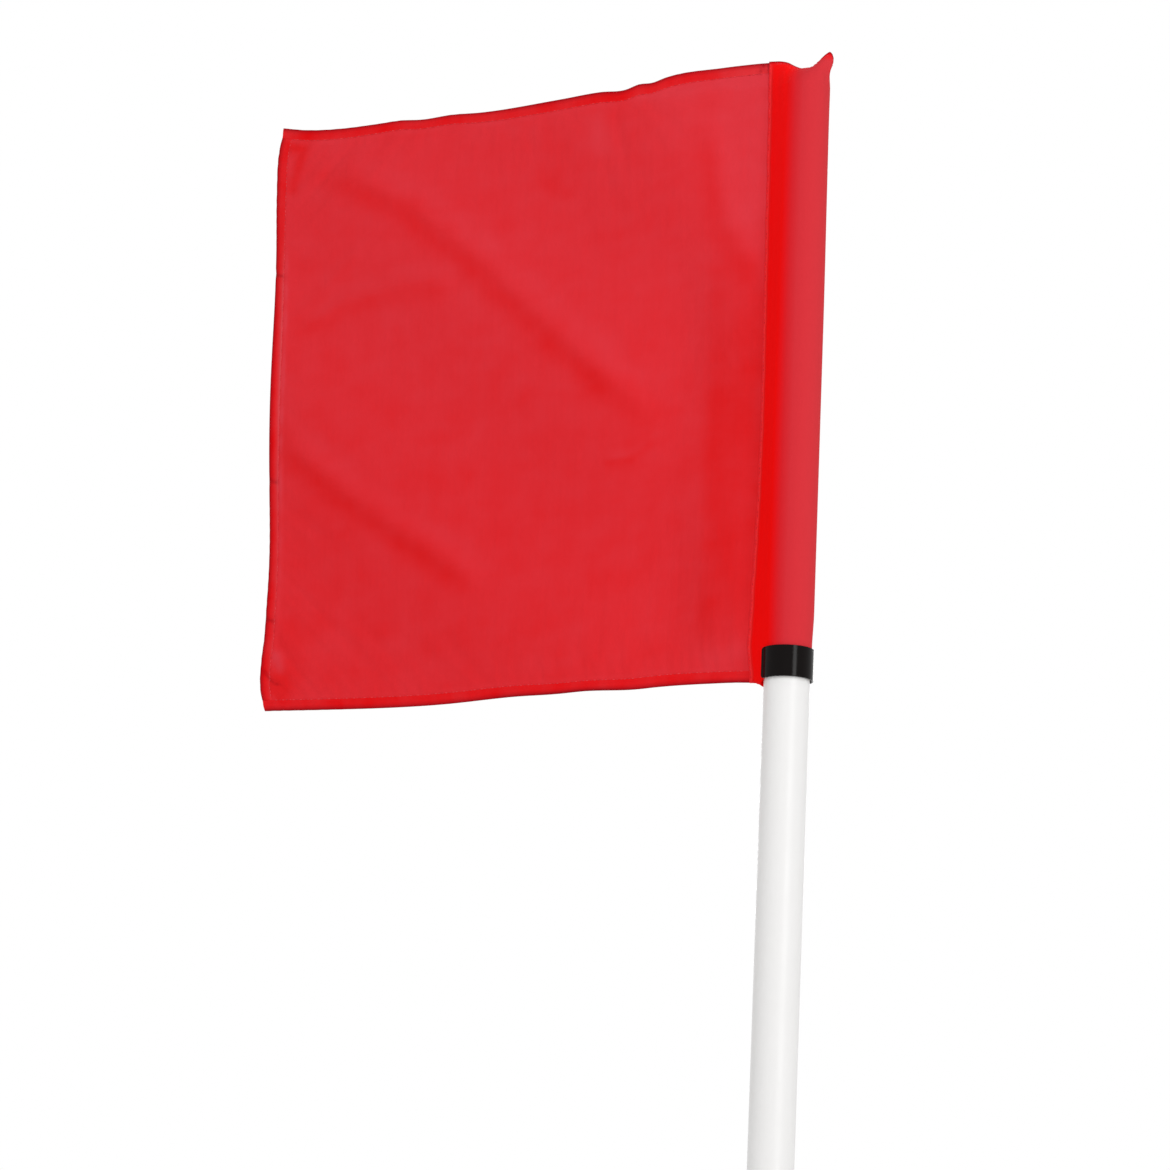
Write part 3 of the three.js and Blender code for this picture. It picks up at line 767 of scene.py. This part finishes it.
def pressed(reach, height):
    """The cloth's painted light: towards 1 it is deep red, painted shade in creases and beside the sleeve,
    and below 0 it is pale, painted sheen that grows towards the top and lies in lines beside creases and
    hems.
    """
    tone = FOOT_TONE - TOP_PAINTED_SHEEN * rising(height, *PAINTED_SHEEN_GROWS)
    # Painted shade along each crease, and painted sheen beside it, up and to the right.
    for route, width, _, depth in CREASES:
        right, up = (PAINTED_SHEEN_BESIDE_CREASE * width * share for share in UP_RIGHT)
        tone += depth * soft_line(reach, height, route, width, FADE)
        tone -= 0.5 * depth * soft_line(reach + right, height - up, route, width, FADE)
    for route, width, depth in PAINTED_SHADES:
        tone += depth * soft_line(reach, height, route, width)
    # Painted highlights: an uneven pale line just inside each hem's stitches.
    painted_sheens = (TOP_HEM_PAINTED_SHEEN, BOTTOM_HEM_PAINTED_SHEEN, FLY_HEM_PAINTED_SHEEN * through(FLY_PAINTED_SHEEN, height))
    for (inside, along), painted_sheen_share in zip(free_edges(reach, height), painted_sheens):
        uneven = 1 + 0.5 * wavering(along, length=5, swing=2, over=17)
        tone -= painted_sheen_share * uneven * hump(inside, HEM_WIDE + PAINTED_SHEEN_PAST_HEM, PAINTED_SHEEN_WIDE)
    # Painted shade beside the sleeve, mottled, fading out towards the top right.
    shade_beside_sleeve = (1 - rising(reach, 62, 77)) * rising(height, 8, 66)
    below_top = 1 - rising(height + 0.8 * reach, 280, 370)
    mottled = 0.75 + 0.22 * np.sin(height / 21 + reach / 11 + np.sin(height / 9))
    return tone + mottled * shade_beside_sleeve * below_top


def seam_ripple(height):
    """Small puckers where the sewn seam has drawn up the cloth."""
    return 0.35 * wavering(height, length=2.9, swing=1.7, over=23) + 0.25 * np.sin(height / 7.3 + 2)


def waves(reach, height):
    """How far the panel stands off the flag's plane, in millimetres, positive to the back."""
    roll = ROLL * np.sin(2 * math.pi * (reach - ROLL_SLANT * height + ROLL_START) / ROLL_LONG)
    bow = BOW * hump(reach, BOW_REACH, BOW_WIDE) / (1 + np.exp((height - BOW_ENDS) / BOW_FADES))
    lift = LIFT * hump(reach, LIFT_REACH, LIFT_WIDE) * hump(height, LIFT_HEIGHT, LIFT_TALL)
    darts = sum(DART * soft_line(reach, height, route, DART_WIDE) for route in PUCKERS)
    for inside, along in free_edges(reach, height):
        ripple = 0.22 * wavering(along, length=1.15, swing=2, over=13) + 0.2 * np.sin(along / 4.3)
        darts += hump(inside, HEM_WIDE, 3.5) * ripple
    wide = (roll + bow + lift) * rising(reach, SEAM_REACH, 96)
    creased = folds(reach, height) * rising(reach, SEAM_REACH, 50)
    return wide - creased + darts + seam_ripple(height) * hump(reach, SEAM_REACH, SEAM_WIDE)


def panel_grid():
    """The panel's points from the seam to the fly edge, a row for each height, in metres."""
    columns = round((np.mean([r for _, r in FLY_EDGE]) - np.mean([r for _, r in SEAM])) / CELL)
    rows = round(FLAG_HIGH / CELL)
    u, v = np.meshgrid(np.linspace(0, 1, columns + 1), np.linspace(0, 1, rows + 1))
    seam = through(SEAM, v * FLAG_HIGH)
    reach = seam + (through(FLY_EDGE, v * FLAG_HIGH) - seam) * u
    low = through(BOTTOM_EDGE, reach)
    height = low + (through(TOP_EDGE, reach) - low) * v
    place = np.stack([-reach, waves(reach, height), height + flag_foot / MM], axis=-1)
    return place * MM


def meshed(name, verts, faces):
    """A smooth-shaded object from points and faces."""
    mesh = bpy.data.meshes.new(name)
    mesh.from_pydata(verts, [], faces)
    piece = bpy.data.objects.new(name, mesh)
    bpy.context.collection.objects.link(piece)
    alone(piece)
    bpy.ops.object.shade_smooth()
    return piece


def grid_mesh(name, points, across, up):
    """A sheet of quads over a grid of points. Its UV map is where each lies on the flat cloth, in metres."""
    rows, columns = points.shape[:2]
    i, j = np.meshgrid(np.arange(columns - 1), np.arange(rows - 1))
    first = (j * columns + i).ravel()
    faces = np.stack([first, first + columns, first + columns + 1, first + 1], axis=1)
    piece = meshed(name, points.reshape(-1, 3).tolist(), faces.tolist())
    flat = np.stack(np.meshgrid(np.linspace(*across, columns), np.linspace(*up, rows)), axis=-1)
    corners = np.zeros(len(piece.data.loops), int)
    piece.data.loops.foreach_get("vertex_index", corners)
    uv = flat.reshape(-1, 2)[corners].astype(np.float32)
    piece.data.uv_layers.new(name="flat_cloth").data.foreach_set("uv", uv.ravel())
    return piece


def noted(piece, name, values):
    """An attribute with one value for each vertex, which a material reads."""
    note = piece.data.attributes.new(name, "FLOAT", "POINT")
    note.data.foreach_set("value", np.asarray(values, np.float32).ravel())


def grid_points(piece, shape):
    """A sheet's points as a grid again."""
    co = np.zeros(len(piece.data.vertices) * 3)
    piece.data.vertices.foreach_get("co", co)
    return co.reshape(*shape, 3)


def weigh(piece, name, weights):
    """A vertex group with one weight for each vertex."""
    group = piece.vertex_groups.new(name=name)
    for index, weight in enumerate(np.asarray(weights, float).ravel()):
        group.add([index], weight, "REPLACE")
    return group.name


def gathered(points):
    """The panel after the cloth simulation: the sewn rows shrink and pucker the cloth beside them."""
    piece = grid_mesh("panel_in_simulation", points, (0, 1), (0, 1))
    rows, columns = points.shape[:2]
    j, i = np.mgrid[0:rows, 0:columns]
    from_edge = np.minimum(np.minimum(j, rows - 1 - j), columns - 1 - i)
    sewn = (from_edge >= 1) & (from_edge <= HEM_CELLS)
    hold = np.where(i == 0, 1.0, np.where(from_edge == 0, HELD_AT_EDGE, HELD_INSIDE))
    modifier = piece.modifiers.new("cloth", "CLOTH")
    cloth = modifier.settings
    cloth.vertex_group_mass = weigh(piece, "hold", hold)
    cloth.vertex_group_shrink = weigh(piece, "sewn", sewn)
    set_all(cloth, CLOTH)
    cloth.effector_weights.gravity = 0
    modifier.collision_settings.use_collision = False
    for step in range(1, CLOTH_STEPS + 1):
        bpy.context.scene.frame_set(step)
    alone(piece)
    bpy.ops.object.modifier_apply(modifier=modifier.name)
    moved = grid_points(piece, points.shape[:2]) - points
    bpy.context.scene.frame_set(1)
    bpy.data.objects.remove(piece)
    far = np.linalg.norm(moved, axis=-1, keepdims=True)
    return points + moved * np.minimum(1, MOST_MOVED / np.maximum(far, 1e-9))


def refined(points):
    """The grid with a point added between each two, on the smooth curve through their neighbours."""
    for axis in (0, 1):
        p = np.moveaxis(points, axis, 0)
        padded = np.concatenate([2 * p[:1] - p[1:2], p, 2 * p[-1:] - p[-2:-1]])
        middle = (9 * (padded[1:-2] + padded[2:-1]) - padded[:-3] - padded[3:]) / 16
        finer = np.empty((2 * len(p) - 1, *p.shape[1:]))
        finer[::2] = p
        finer[1::2] = middle
        points = np.moveaxis(finer, 0, axis)
    return points


BAND_APART = 5.655 * MM
SLUB = 18 * MM
WEAVE_RELIEF = 0.04 * MM


def woven_polyester(name, tint=None, painted_sheen_red="DA3842", deep="DB1E22"):
    """Plain-weave polyester. Its threads are too fine to show: crossed shallow bands and slubs are drawn.
    It takes a low wide sheen. Its colour goes from a pale red of painted sheen to deep red where shade is
    painted in creases, and slubs vary it at random. Painted shade darkens folded edges and puckers most."""
    material, tree = empty_material(name)
    place = add_node(tree, "ShaderNodeUVMap", {"uv_map": "flat_cloth"})
    bands, slubs = [], []
    for axis, stretch in (("X", (1, 0.5, 1)), ("Y", (0.5, 1, 1))):
        bands.append(add_node(
            tree, "ShaderNodeTexWave", {"wave_type": "BANDS", "bands_direction": axis, "wave_profile": "SIN"},
            Vector=place, Scale=2 * math.pi / (20 * BAND_APART), Distortion=0.0,
        ).outputs["Fac"])
        laid = add_node(tree, "ShaderNodeMapping", Vector=place, Scale=stretch)
        noise = add_node(tree, "ShaderNodeTexNoise", Vector=laid, Scale=1 / SLUB, Detail=4.0)
        slubs.append(noise.outputs["Fac"])
    weave, slub = (
        add_node(tree, "ShaderNodeMath", {"operation": "ADD"}, i0=crossed[0], i1=crossed[1])
        for crossed in (bands, slubs)
    )
    uneven = add_node(
        tree, "ShaderNodeMapRange", Value=slub, From_Min=0.6, From_Max=1.4, To_Min=-0.17, To_Max=0.17
    )
    painted_light_value, edge = (
        add_node(tree, "ShaderNodeAttribute", {"attribute_name": noted_name}).outputs["Fac"]
        for noted_name in ("pressed", "folded_edge")
    )
    # The painted light picks between the pale painted sheen and the deep red of painted shade.
    flat = add_node(tree, "ShaderNodeMapRange", Value=painted_light_value, From_Min=-1.6, From_Max=1.6)
    depth = add_node(tree, "ShaderNodeMath", {"operation": "ADD", "use_clamp": True}, i0=flat, i1=uneven)
    shade = add_node(tree, "ShaderNodeMix", TWO_COLOURS, Factor=depth, i6=painted_sheen_red, i7=deep).outputs[2]
    if tint:
        shade = tint(tree, shade)
    # Painted shade: folded edges, puckers and the sleeve's top edge darken towards 8A0C16.
    edge_shaded = add_node(tree, "ShaderNodeMix", TWO_COLOURS, Factor=edge, i6=shade, i7="8A0C16").outputs[2]
    relief = add_node(tree, "ShaderNodeMath", {"operation": "ADD"}, i0=weave, i1=slub)
    bump = add_node(tree, "ShaderNodeBump", Height=relief, Distance=WEAVE_RELIEF, Strength=1.0)
    return surfaced(
        material, Base_Color=edge_shaded, Normal=bump, Roughness=0.7, IOR=1.5, Specular_IOR_Level=0.05,
        Specular_Tint="FF8A86", Sheen_Weight=0.04, Sheen_Roughness=0.4, Sheen_Tint="FF7A78",
    )


CLOTH_THICK = 0.6 * MM
PUCKER_SHADE, PUCKER_WIDE = 0.38, 1.3
points = panel_grid()
panel_wide = (points.shape[1] - 1) * CELL * MM
points = gathered(points)
points = refined(points)
hem = 2 * HEM_CELLS
flag_high = FLAG_HIGH * MM
fine = panel_wide / (points.shape[1] - 1)
single = np.s_[hem - 1:1 - hem, :1 - hem]
margin = (hem - 1) * fine
reach_flat = -points[..., 0] / MM
height_flat = (points[..., 2] - flag_foot) / MM
# Painted light and shade on the panel's flat grid.
tone_and_painted_light_grid = pressed(reach_flat, height_flat)
# Painted shade along the puckers.
pucker_shade = PUCKER_SHADE * sum(soft_line(reach_flat, height_flat, route, PUCKER_WIDE) for route in PUCKERS)
panel = grid_mesh("flag_panel_cloth", points[single], (0, panel_wide - margin), (margin, flag_high - margin))
noted(panel, "pressed", tone_and_painted_light_grid[single])
noted(panel, "folded_edge", pucker_shade[single])
applied(panel, "SOLIDIFY", thickness=CLOTH_THICK, offset=0)
single_cloth = woven_polyester("woven_polyester")
dressed(panel, single_cloth, "flag", ["flag_panel"])


# Hems: the panel's three free edges, folded over twice and sewn down. They are plump at the fold
# and drawn thin along the row of stitches, and the doubled cloth is a deeper red.
HEM_THICK = 1.5 * MM
HEM_SHARES = np.array([0.8, 1, 0.95, 0.55, 0.6])
# Painted shade along each hem's fold, by row from the edge, darkest at the outer edge where the fold turns
# away.
FOLD_SHADE = np.array([0.95, 0.38, 0.12, 0.12, 0.05])
HEM_DEPTH = 1.1
# The fly hem's tone by row from the edge: deep red at the fold, and pale painted sheen on its inner row where
# the fly's painted sheen is strong.
FLY_DEPTH = np.array([1.3, 1.3, 1.0, 0.2, -1.2])
CREASE_SHARE = 0.25
THIN_IN_SEAM = 0.5


def folded(name, node, rows, along, up, shares, edge, depth):
    """A folded edge: a strip of the panel's grid, with a share of the hem's thickness at each line."""
    piece = grid_mesh(name, points[rows], along, up)
    # The hem's tone with painted sheen, and painted shade along its fold edge and puckers.
    noted(piece, "pressed", CREASE_SHARE * tone_and_painted_light_grid[rows] + depth)
    noted(piece, "folded_edge", np.clip(edge + pucker_shade[rows], 0, 1))
    group = weigh(piece, "plump", shares)
    applied(piece, "SOLIDIFY", thickness=HEM_THICK, offset=0, vertex_group=group)
    rounded(piece, 0.25 * MM, 2, angle=60)
    return dressed(piece, double_cloth, "flag", [node])


# The doubled cloth is a deeper red; its pale colour is the painted sheen.
double_cloth = woven_polyester("doubled_woven_polyester", painted_sheen_red="E04850", deep="E60A0E")
fly_painted_sheen = through(FLY_PAINTED_SHEEN, height_flat[hem:-hem, -1:])
across = np.ones((1, points.shape[1]))
across[0, 0] = THIN_IN_SEAM
down = np.ones((points.shape[0] - 2 * hem, 1))
top_hem = folded(
    "top_hem_fold", "top_hem", np.s_[-1 - hem:], (0, panel_wide), (flag_high - hem * fine, flag_high),
    HEM_SHARES[::-1, None] * across, FOLD_SHADE[::-1, None] * across, HEM_DEPTH,
)
bottom_hem = folded(
    "bottom_hem_fold", "bottom_hem", np.s_[:hem + 1], (0, panel_wide), (0, hem * fine),
    HEM_SHARES[:, None] * across, FOLD_SHADE[:, None] * across, HEM_DEPTH,
)
fly_hem = folded(
    "fly_hem_fold", "fly_hem", np.s_[hem:-hem, -1 - hem:], (panel_wide - hem * fine, panel_wide),
    (0, flag_high), down * HEM_SHARES[::-1], down * FOLD_SHADE[::-1],
    HEM_DEPTH + (FLY_DEPTH[::-1] - HEM_DEPTH) * fly_painted_sheen,
)


# Pole sleeve: the panel's hoist end, folded round the pole and sewn down on itself. Its top is closed
# flat over the cap and ends in a small ear, and the clip draws its foot in against the pole.
SLEEVE_ROUND = 17.6
SLEEVE_TOP = 16.9
SLEEVE_IN_CLIP = 16.8
CLIP_HIGH = 22
TAPER = 28
LAYER = 0.65
SEAM_LAYER = 0.6
SEAM_OVER_HEM = 0.95
OVERLAP = 1.6
AROUND = 112
CLIP_ROWS, TAPER_ROWS, CLOSING_ROWS = 9, 12, 15
SLEEVE_CELL = 2.6
SLEEVE_FLAT = 0.121
CLOSING_REACH = 19
TENT = 0.5
GATHER_TALL, GATHER_DEEP = 26, 0.25
CLOSED_EDGE = [
    (-28, 457.4), (-20, 456.8), (-14.9, 455.3), (-9.6, 452.2), (-6.5, 450.6), (-4.8, 449.9), (0, 449.7),
    (5.3, 450.2), (7.9, 452.4), (11.6, 456), (15.8, 459), (17.4, 459.6), (18.8, 458.4), (20, 455),
]
EAR_FOLD = [(435.1, 16.9), (438, 17.2), (440.8, 17.4), (443.5, 18), (447, 19.3), (451, 19.9), (455, 20)]
FOOT_EDGE = [(-28, 0), (-24, 0), (-17, -2.8), (-14, -0.6), (-9, 1.5), (20, 1.5)]
# Painted sheen and shade from the seam across the pole, in millimetres of x, and a painted light rim from the
# sewn edge inwards.
POLE_SPAN, RIM_SPAN = (-27 * MM, 18 * MM), (0, 6)
SHEEN_AND_SHADE_ACROSS_POLE = [
    (0, "FF0200"), (0.39, "FD0300"), (0.47, "EC1016"), (0.57, "D52129"), (0.7, "CE2F37"), (1, "D1363D"),
]
SEWN_RIM_HIGHLIGHT = [
    (0, "F82A30"), (0.13, "F2242A"), (0.25, "FC3034"), (0.45, "F02828"), (0.6, "EA1214"), (1, "FF0200"),
]
EAR_SPAN = (cap_high.z + 9 * MM, cap_high.z + 14 * MM)
TINTED = 0.92
# How much shade is painted on the sleeve's top edge in three steps, its tone at the foot, and how much
# painted sheen the top takes on, paler upwards.
SLEEVE_TOP_SHADE = [[0.25], [0.65], [0.85]]
SLEEVE_TONE, SLEEVE_TOP_PAINTED_SHEEN = 0.9, 2.4


def sleeve_section(reach, radius, roundness, right, stand):
    """One level of the sleeve in plan, from the front layer's edge round the pole to the back layer's."""
    tangent = math.acos(-radius / reach)
    arc = np.linspace(-tangent, tangent, 61)
    edge = -reach - OVERLAP
    round_x = np.concatenate([[edge, -reach], radius * np.cos(arc), [-reach, edge]])
    round_y = np.concatenate([[-stand] * 2, radius * np.sin(arc), [stand] * 2])
    steps = np.concatenate([[0], np.cumsum(np.hypot(np.diff(round_x), np.diff(round_y)))])
    even = np.linspace(0, steps[-1], AROUND + 1)
    x = np.interp(even, steps, round_x)
    y = np.interp(even, steps, round_y)
    for _ in range(6):
        x[2:-2] = (x[1:-3] + 2 * x[2:-2] + x[3:-1]) / 4
        y[2:-2] = (y[1:-3] + 2 * y[2:-2] + y[3:-1]) / 4
    from_edge = 1 - np.abs(2 * even / steps[-1] - 1)
    flat_x = edge + (right - edge) * from_edge
    near_seam = np.clip((from_edge - 0.02) / 0.08, 0, 1)
    flat_y = (stand + (LAYER - stand) * near_seam) * np.where(even < steps[-1] / 2, -1, 1)
    plan = np.stack([flat_x + (x - flat_x) * roundness, flat_y + (y - flat_y) * roundness], axis=1)
    return plan, from_edge


def sleeve_grid():
    """The sleeve's outer face, a row for each level, in metres."""
    tube_end = (tube_high.z - flag_foot) / MM
    body = tube_end - CLIP_HIGH - TAPER
    heights = np.concatenate([
        np.linspace(0, CLIP_HIGH, CLIP_ROWS),
        np.linspace(CLIP_HIGH, CLIP_HIGH + TAPER, TAPER_ROWS)[1:],
        np.linspace(CLIP_HIGH + TAPER, tube_end, round(body / SLEEVE_CELL) + 1)[1:],
    ])
    levels = [(height, 1.0) for height in heights]
    levels += [(tube_end, share) for share in np.linspace(1, 0, CLOSING_ROWS)[1:]]
    rows = []
    for height, roundness in levels:
        open_up = float(rising(height, CLIP_HIGH, CLIP_HIGH + TAPER))
        radius = SLEEVE_IN_CLIP + (SLEEVE_ROUND - SLEEVE_IN_CLIP) * open_up
        radius -= (SLEEVE_ROUND - SLEEVE_TOP) * float(rising(height, 250, 430))
        reach = float(through(SEAM, height))
        right = radius + (CLOSING_REACH - radius) * (1 - roundness ** 3)
        over_hem = 1 - float(rising(min(height, FLAG_HIGH - height), HEM_WIDE - 1, HEM_WIDE + 5))
        stand = SEAM_LAYER + (SEAM_OVER_HEM - SEAM_LAYER) * max(over_hem, 1 - roundness)
        plan, from_edge = sleeve_section(reach, radius, roundness, right, stand)
        x, y = plan.T.copy()
        ripple = seam_ripple(height) * hump(from_edge, 0, 7 / 60)
        gather = GATHER_DEEP * np.clip((height - tube_end) / GATHER_TALL + 1, 0, 1) ** 2 * roundness
        pleat = gather * np.sin(from_edge * 34 + height / 9) * np.clip(from_edge * 8, 0, 1)
        outward = np.hypot(x, y)
        y = y + ripple + pleat * y / outward
        x = x + pleat * x / outward
        climb = TENT * (1 - roundness) + (1 - TENT) * (1 - roundness ** 4)
        if climb:
            fold_height = height + (CLOSED_EDGE[-1][1] - height) * climb
            x += (through(EAR_FOLD, fold_height) - x.max()) * np.clip(x / x.max(), 0, 1) ** 3
        z = height + (through(CLOSED_EDGE, x) - height) * climb
        rows.append(np.stack([x, y, z], axis=1))
    foot = through(FOOT_EDGE, rows[0][:, 0])
    for row, share in zip(rows, np.linspace(1, 0, CLIP_ROWS)):
        row[:, 2] += foot * share
    place = np.array(rows)
    place[:, :, 2] += flag_foot / MM
    return place * MM


def sleeve_sheen_and_shade(tree, shade):
    """Painted sheen and shade across the sleeve: the band beside the seam, which faces away from the lamps,
    is painted deep red without sheen, and the cloth round the pole's lit side is painted paler with sheen.
    The ear above the cap is deep red. The sewn edge gets a painted light rim."""
    place = add_node(tree, "ShaderNodeTexCoord").outputs["Object"]
    axes = add_node(tree, "ShaderNodeSeparateXYZ", Vector=place).outputs
    sewn = add_node(tree, "ShaderNodeAttribute", {"attribute_name": "from_seam"}).outputs["Fac"]
    ramps = []
    for value, span, stops in ((axes["X"], POLE_SPAN, SHEEN_AND_SHADE_ACROSS_POLE), (sewn, RIM_SPAN, SEWN_RIM_HIGHLIGHT)):
        share = add_node(tree, "ShaderNodeMapRange", Value=value, From_Min=span[0], From_Max=span[1])
        ramps.append(add_node(tree, "ShaderNodeValToRGB", Fac=share))
        elements = ramps[-1].color_ramp.elements
        for stop, colour in stops:
            element = elements[0] if stop == 0 else elements[-1] if stop == 1 else elements.new(stop)
            element.color = linear(colour)
    near = add_node(tree, "ShaderNodeMapRange", Value=sewn, From_Min=RIM_SPAN[1] - 1, From_Max=RIM_SPAN[1])
    ear = add_node(tree, "ShaderNodeMapRange", Value=axes["Z"], From_Min=EAR_SPAN[0], From_Max=EAR_SPAN[1])
    banded = add_node(tree, "ShaderNodeMix", TWO_COLOURS, Factor=near, i6=ramps[1], i7=ramps[0]).outputs[2]
    eared = add_node(tree, "ShaderNodeMix", TWO_COLOURS, Factor=ear, i6=banded, i7="EC1218").outputs[2]
    return add_node(tree, "ShaderNodeMix", TWO_COLOURS, Factor=TINTED, i6=shade, i7=eared).outputs[2]


sleeve_points = sleeve_grid()
sleeve = grid_mesh("pole_sleeve_cloth", sleeve_points, (0, SLEEVE_FLAT), (0, flag_high))
# Painted shade along the sleeve's closed top edge.
sleeve_edge_shade = np.zeros(sleeve_points.shape[:2])
sleeve_edge_shade[-3:] = SLEEVE_TOP_SHADE
noted(sleeve, "folded_edge", sleeve_edge_shade)
from_sewn_edge = SLEEVE_FLAT / MM / 2 * (1 - np.abs(np.linspace(-1, 1, AROUND + 1)))
noted(sleeve, "from_seam", np.ones((len(sleeve_points), 1)) * from_sewn_edge)
# Painted sheen: the sleeve is paler towards its top.
noted(sleeve, "pressed", SLEEVE_TONE - SLEEVE_TOP_PAINTED_SHEEN * (sleeve_points[..., 2] - flag_foot) / flag_high)
applied(sleeve, "SOLIDIFY", thickness=CLOTH_THICK, offset=1)
sleeve_cloth = woven_polyester("sleeve_woven_polyester", sleeve_sheen_and_shade)
dressed(sleeve, sleeve_cloth, "flag", ["pole_sleeve"])


# Sewing thread: red polyester, lockstitched, one row down the hoist and one along each hem.
# Each stitch shows as a short plump dash on both faces of the cloth.
STITCH = 2.9 * MM
STITCH_SHOWN = 2.1 * MM
THREAD = 0.26 * MM
TONE_APART = 7.54 * MM


def stitched(name, lines):
    """Stitches along (line, normals, stand-off) rows: one small dash, copied to the place of each."""
    dash = started("dash", bpy.ops.mesh.primitive_uv_sphere_add, segments=8, ring_count=5, radius=1)
    co = np.array([v.co for v in dash.data.vertices])
    shape = [list(p.vertices) for p in dash.data.polygons]
    bpy.data.objects.remove(dash)
    verts, faces = [], []
    for line, normals, stand_off in lines:
        run = np.concatenate([[0], np.cumsum(np.linalg.norm(np.diff(line, axis=0), axis=1))])
        for start in np.arange(STITCH, run[-1] - STITCH, STITCH):
            first, last, normal = (
                np.array([np.interp(at, run, values[:, k]) for k in range(3)])
                for at, values in ((start, line), (start + STITCH_SHOWN, line), (start, normals))
            )
            along = (last - first) / np.linalg.norm(last - first)
            out = normal - along * (normal @ along)
            out /= np.linalg.norm(out)
            side = np.cross(out, along)
            middle = (first + last) / 2 + out * stand_off
            place = (co[:, :1] * side + co[:, 1:2] * out) * THREAD + co[:, 2:] * along * STITCH_SHOWN / 2
            faces += [[k + len(verts) for k in face] for face in shape]
            verts += (middle + place).tolist()
    return meshed(name, verts, faces)


def grid_normals(grid):
    """Unit normals of a grid, towards the flag's front."""
    up, across = np.gradient(grid, axis=0), np.gradient(grid, axis=1)
    normal = np.cross(up, across)
    normal /= np.linalg.norm(normal, axis=-1, keepdims=True)
    return normal * np.where(normal[..., 1:2] > 0, -1, 1)


def flat_row(line, way):
    """A row of stitches on the sleeve: its line, its normals, to the front or back, and its stand-off."""
    return line, np.zeros_like(line) + (0, way, 0), THREAD / 3


def sewing_thread(name, shadowed, lit):
    """Polyester thread, a little glossier than the cloth. Its tone changes slowly from stitch to stitch."""
    material, tree = empty_material(name)
    place = add_node(tree, "ShaderNodeTexCoord").outputs["Object"]
    laid = add_node(tree, "ShaderNodeMapping", Vector=place, Scale=(1, 1, 0.7))
    tone = add_node(
        tree, "ShaderNodeTexWave", {"bands_direction": "DIAGONAL"},
        Vector=laid, Scale=2 * math.pi / (10 * TONE_APART),
    ).outputs["Fac"]
    colour = add_node(tree, "ShaderNodeMix", TWO_COLOURS, Factor=tone, i6=shadowed, i7=lit).outputs[2]
    return surfaced(material, Base_Color=colour, Roughness=0.6, Specular_IOR_Level=0.1)


pale_thread = sewing_thread("polyester_thread", "D22B33", "E4484F")
dark_thread = sewing_thread("deep_polyester_thread", "CC1E26", "E63840")
normals = grid_normals(points)
hem_face = HEM_THICK * HEM_SHARES[hem] / 2 + THREAD / 3
hem_lines = []
for face in (1, -1):
    for row in (np.s_[-1 - hem, 2:-hem], np.s_[hem, 2:-hem], np.s_[hem:-hem, -1 - hem]):
        hem_lines.append((points[row], normals[row] * face, hem_face))
hem_thread = stitched("hem_thread", hem_lines)
dressed(hem_thread, pale_thread, "flag")

seam_thread = stitched("hoist_thread", [flat_row(sleeve_points[:, 1], -1), flat_row(sleeve_points[:, -2], 1)])
dressed(seam_thread, dark_thread, "flag")
closing_row = sleeve_points[-4]
half_way = AROUND // 2
closing_thread = stitched("closing_thread", [
    flat_row(closing_row[3:half_way - 1], -1),
    flat_row(closing_row[half_way + 2:-3], 1),
])
dressed(closing_thread, pale_thread, "flag")


# Flag clip: black nylon, moulded as a C that is pushed over sleeve and pole at the flag's foot.
# Its lips turn outwards on both sides of the cloth, and all its edges are rounded by the mould.
CLIP_INSIDE = 17.0
CLIP_WALL = 1.2
CLIP_MOUTH = 84
LIP = 1.6
LIP_RISE = 1.0
LIP_CORNER = 2.2
LIP_STEPS = 6
CORNER_SPREAD = 1.6
clip_low, clip_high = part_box("flag_clip")
clip_middle = (CLIP_INSIDE + CLIP_WALL / 2) * MM
clip_tall = clip_high.z - clip_low.z
clip_centre = (0, 0, (clip_low.z + clip_high.z) / 2)
lip_start = math.radians(180 - CLIP_MOUTH / 2) - math.asin(LIP / (CLIP_INSIDE + CLIP_WALL))
clip = swept(
    "flag_clip_moulding", CLIP_WALL * MM, clip_tall, (clip_middle, 0, clip_centre[2]),
    lip_start, 2 * lip_start, 96, up=-1,
)


def lip_height(share):
    """The lip's height as a share of the clip's: its corners are quarter circles."""
    into_corner = max(0, LIP_CORNER * MM - (1 - share) * LIP * MM * CORNER_SPREAD)
    dropped = LIP_CORNER * MM - math.sqrt((LIP_CORNER * MM) ** 2 - into_corner ** 2)
    return 1 - 2 * dropped / clip_tall


for side in (-1, 1):
    outward = Vector((math.cos(lip_start), math.sin(lip_start) * side, 0))
    tangent = Vector((-math.sin(lip_start), math.cos(lip_start) * side, 0))
    for face in clip.data.polygons:
        from_end = face.center - outward * clip_middle
        face.select = from_end.xy.length < CLIP_WALL / 2 * MM and abs(from_end.dot(tangent)) < SAME_PLACE
    bpy.ops.object.mode_set(mode="EDIT")
    for step in range(LIP_STEPS):
        low, high = step / LIP_STEPS, (step + 1) / LIP_STEPS
        move = (tangent * LIP * (high - low) + outward * LIP_RISE * (high ** 2 - low ** 2)) * MM
        bpy.ops.mesh.extrude_region_move(TRANSFORM_OT_translate={"value": move})
        lower = lip_height(high) / lip_height(low)
        bpy.ops.transform.resize(value=(1, 1, lower), center_override=clip_centre)
    bpy.ops.mesh.select_all(action="DESELECT")
    bpy.ops.object.mode_set(mode="OBJECT")
rounded(faced_outwards(clip), 0.45 * MM, 4, angle=50)
dressed(clip, nylon, "clip", ["flag_clip"])
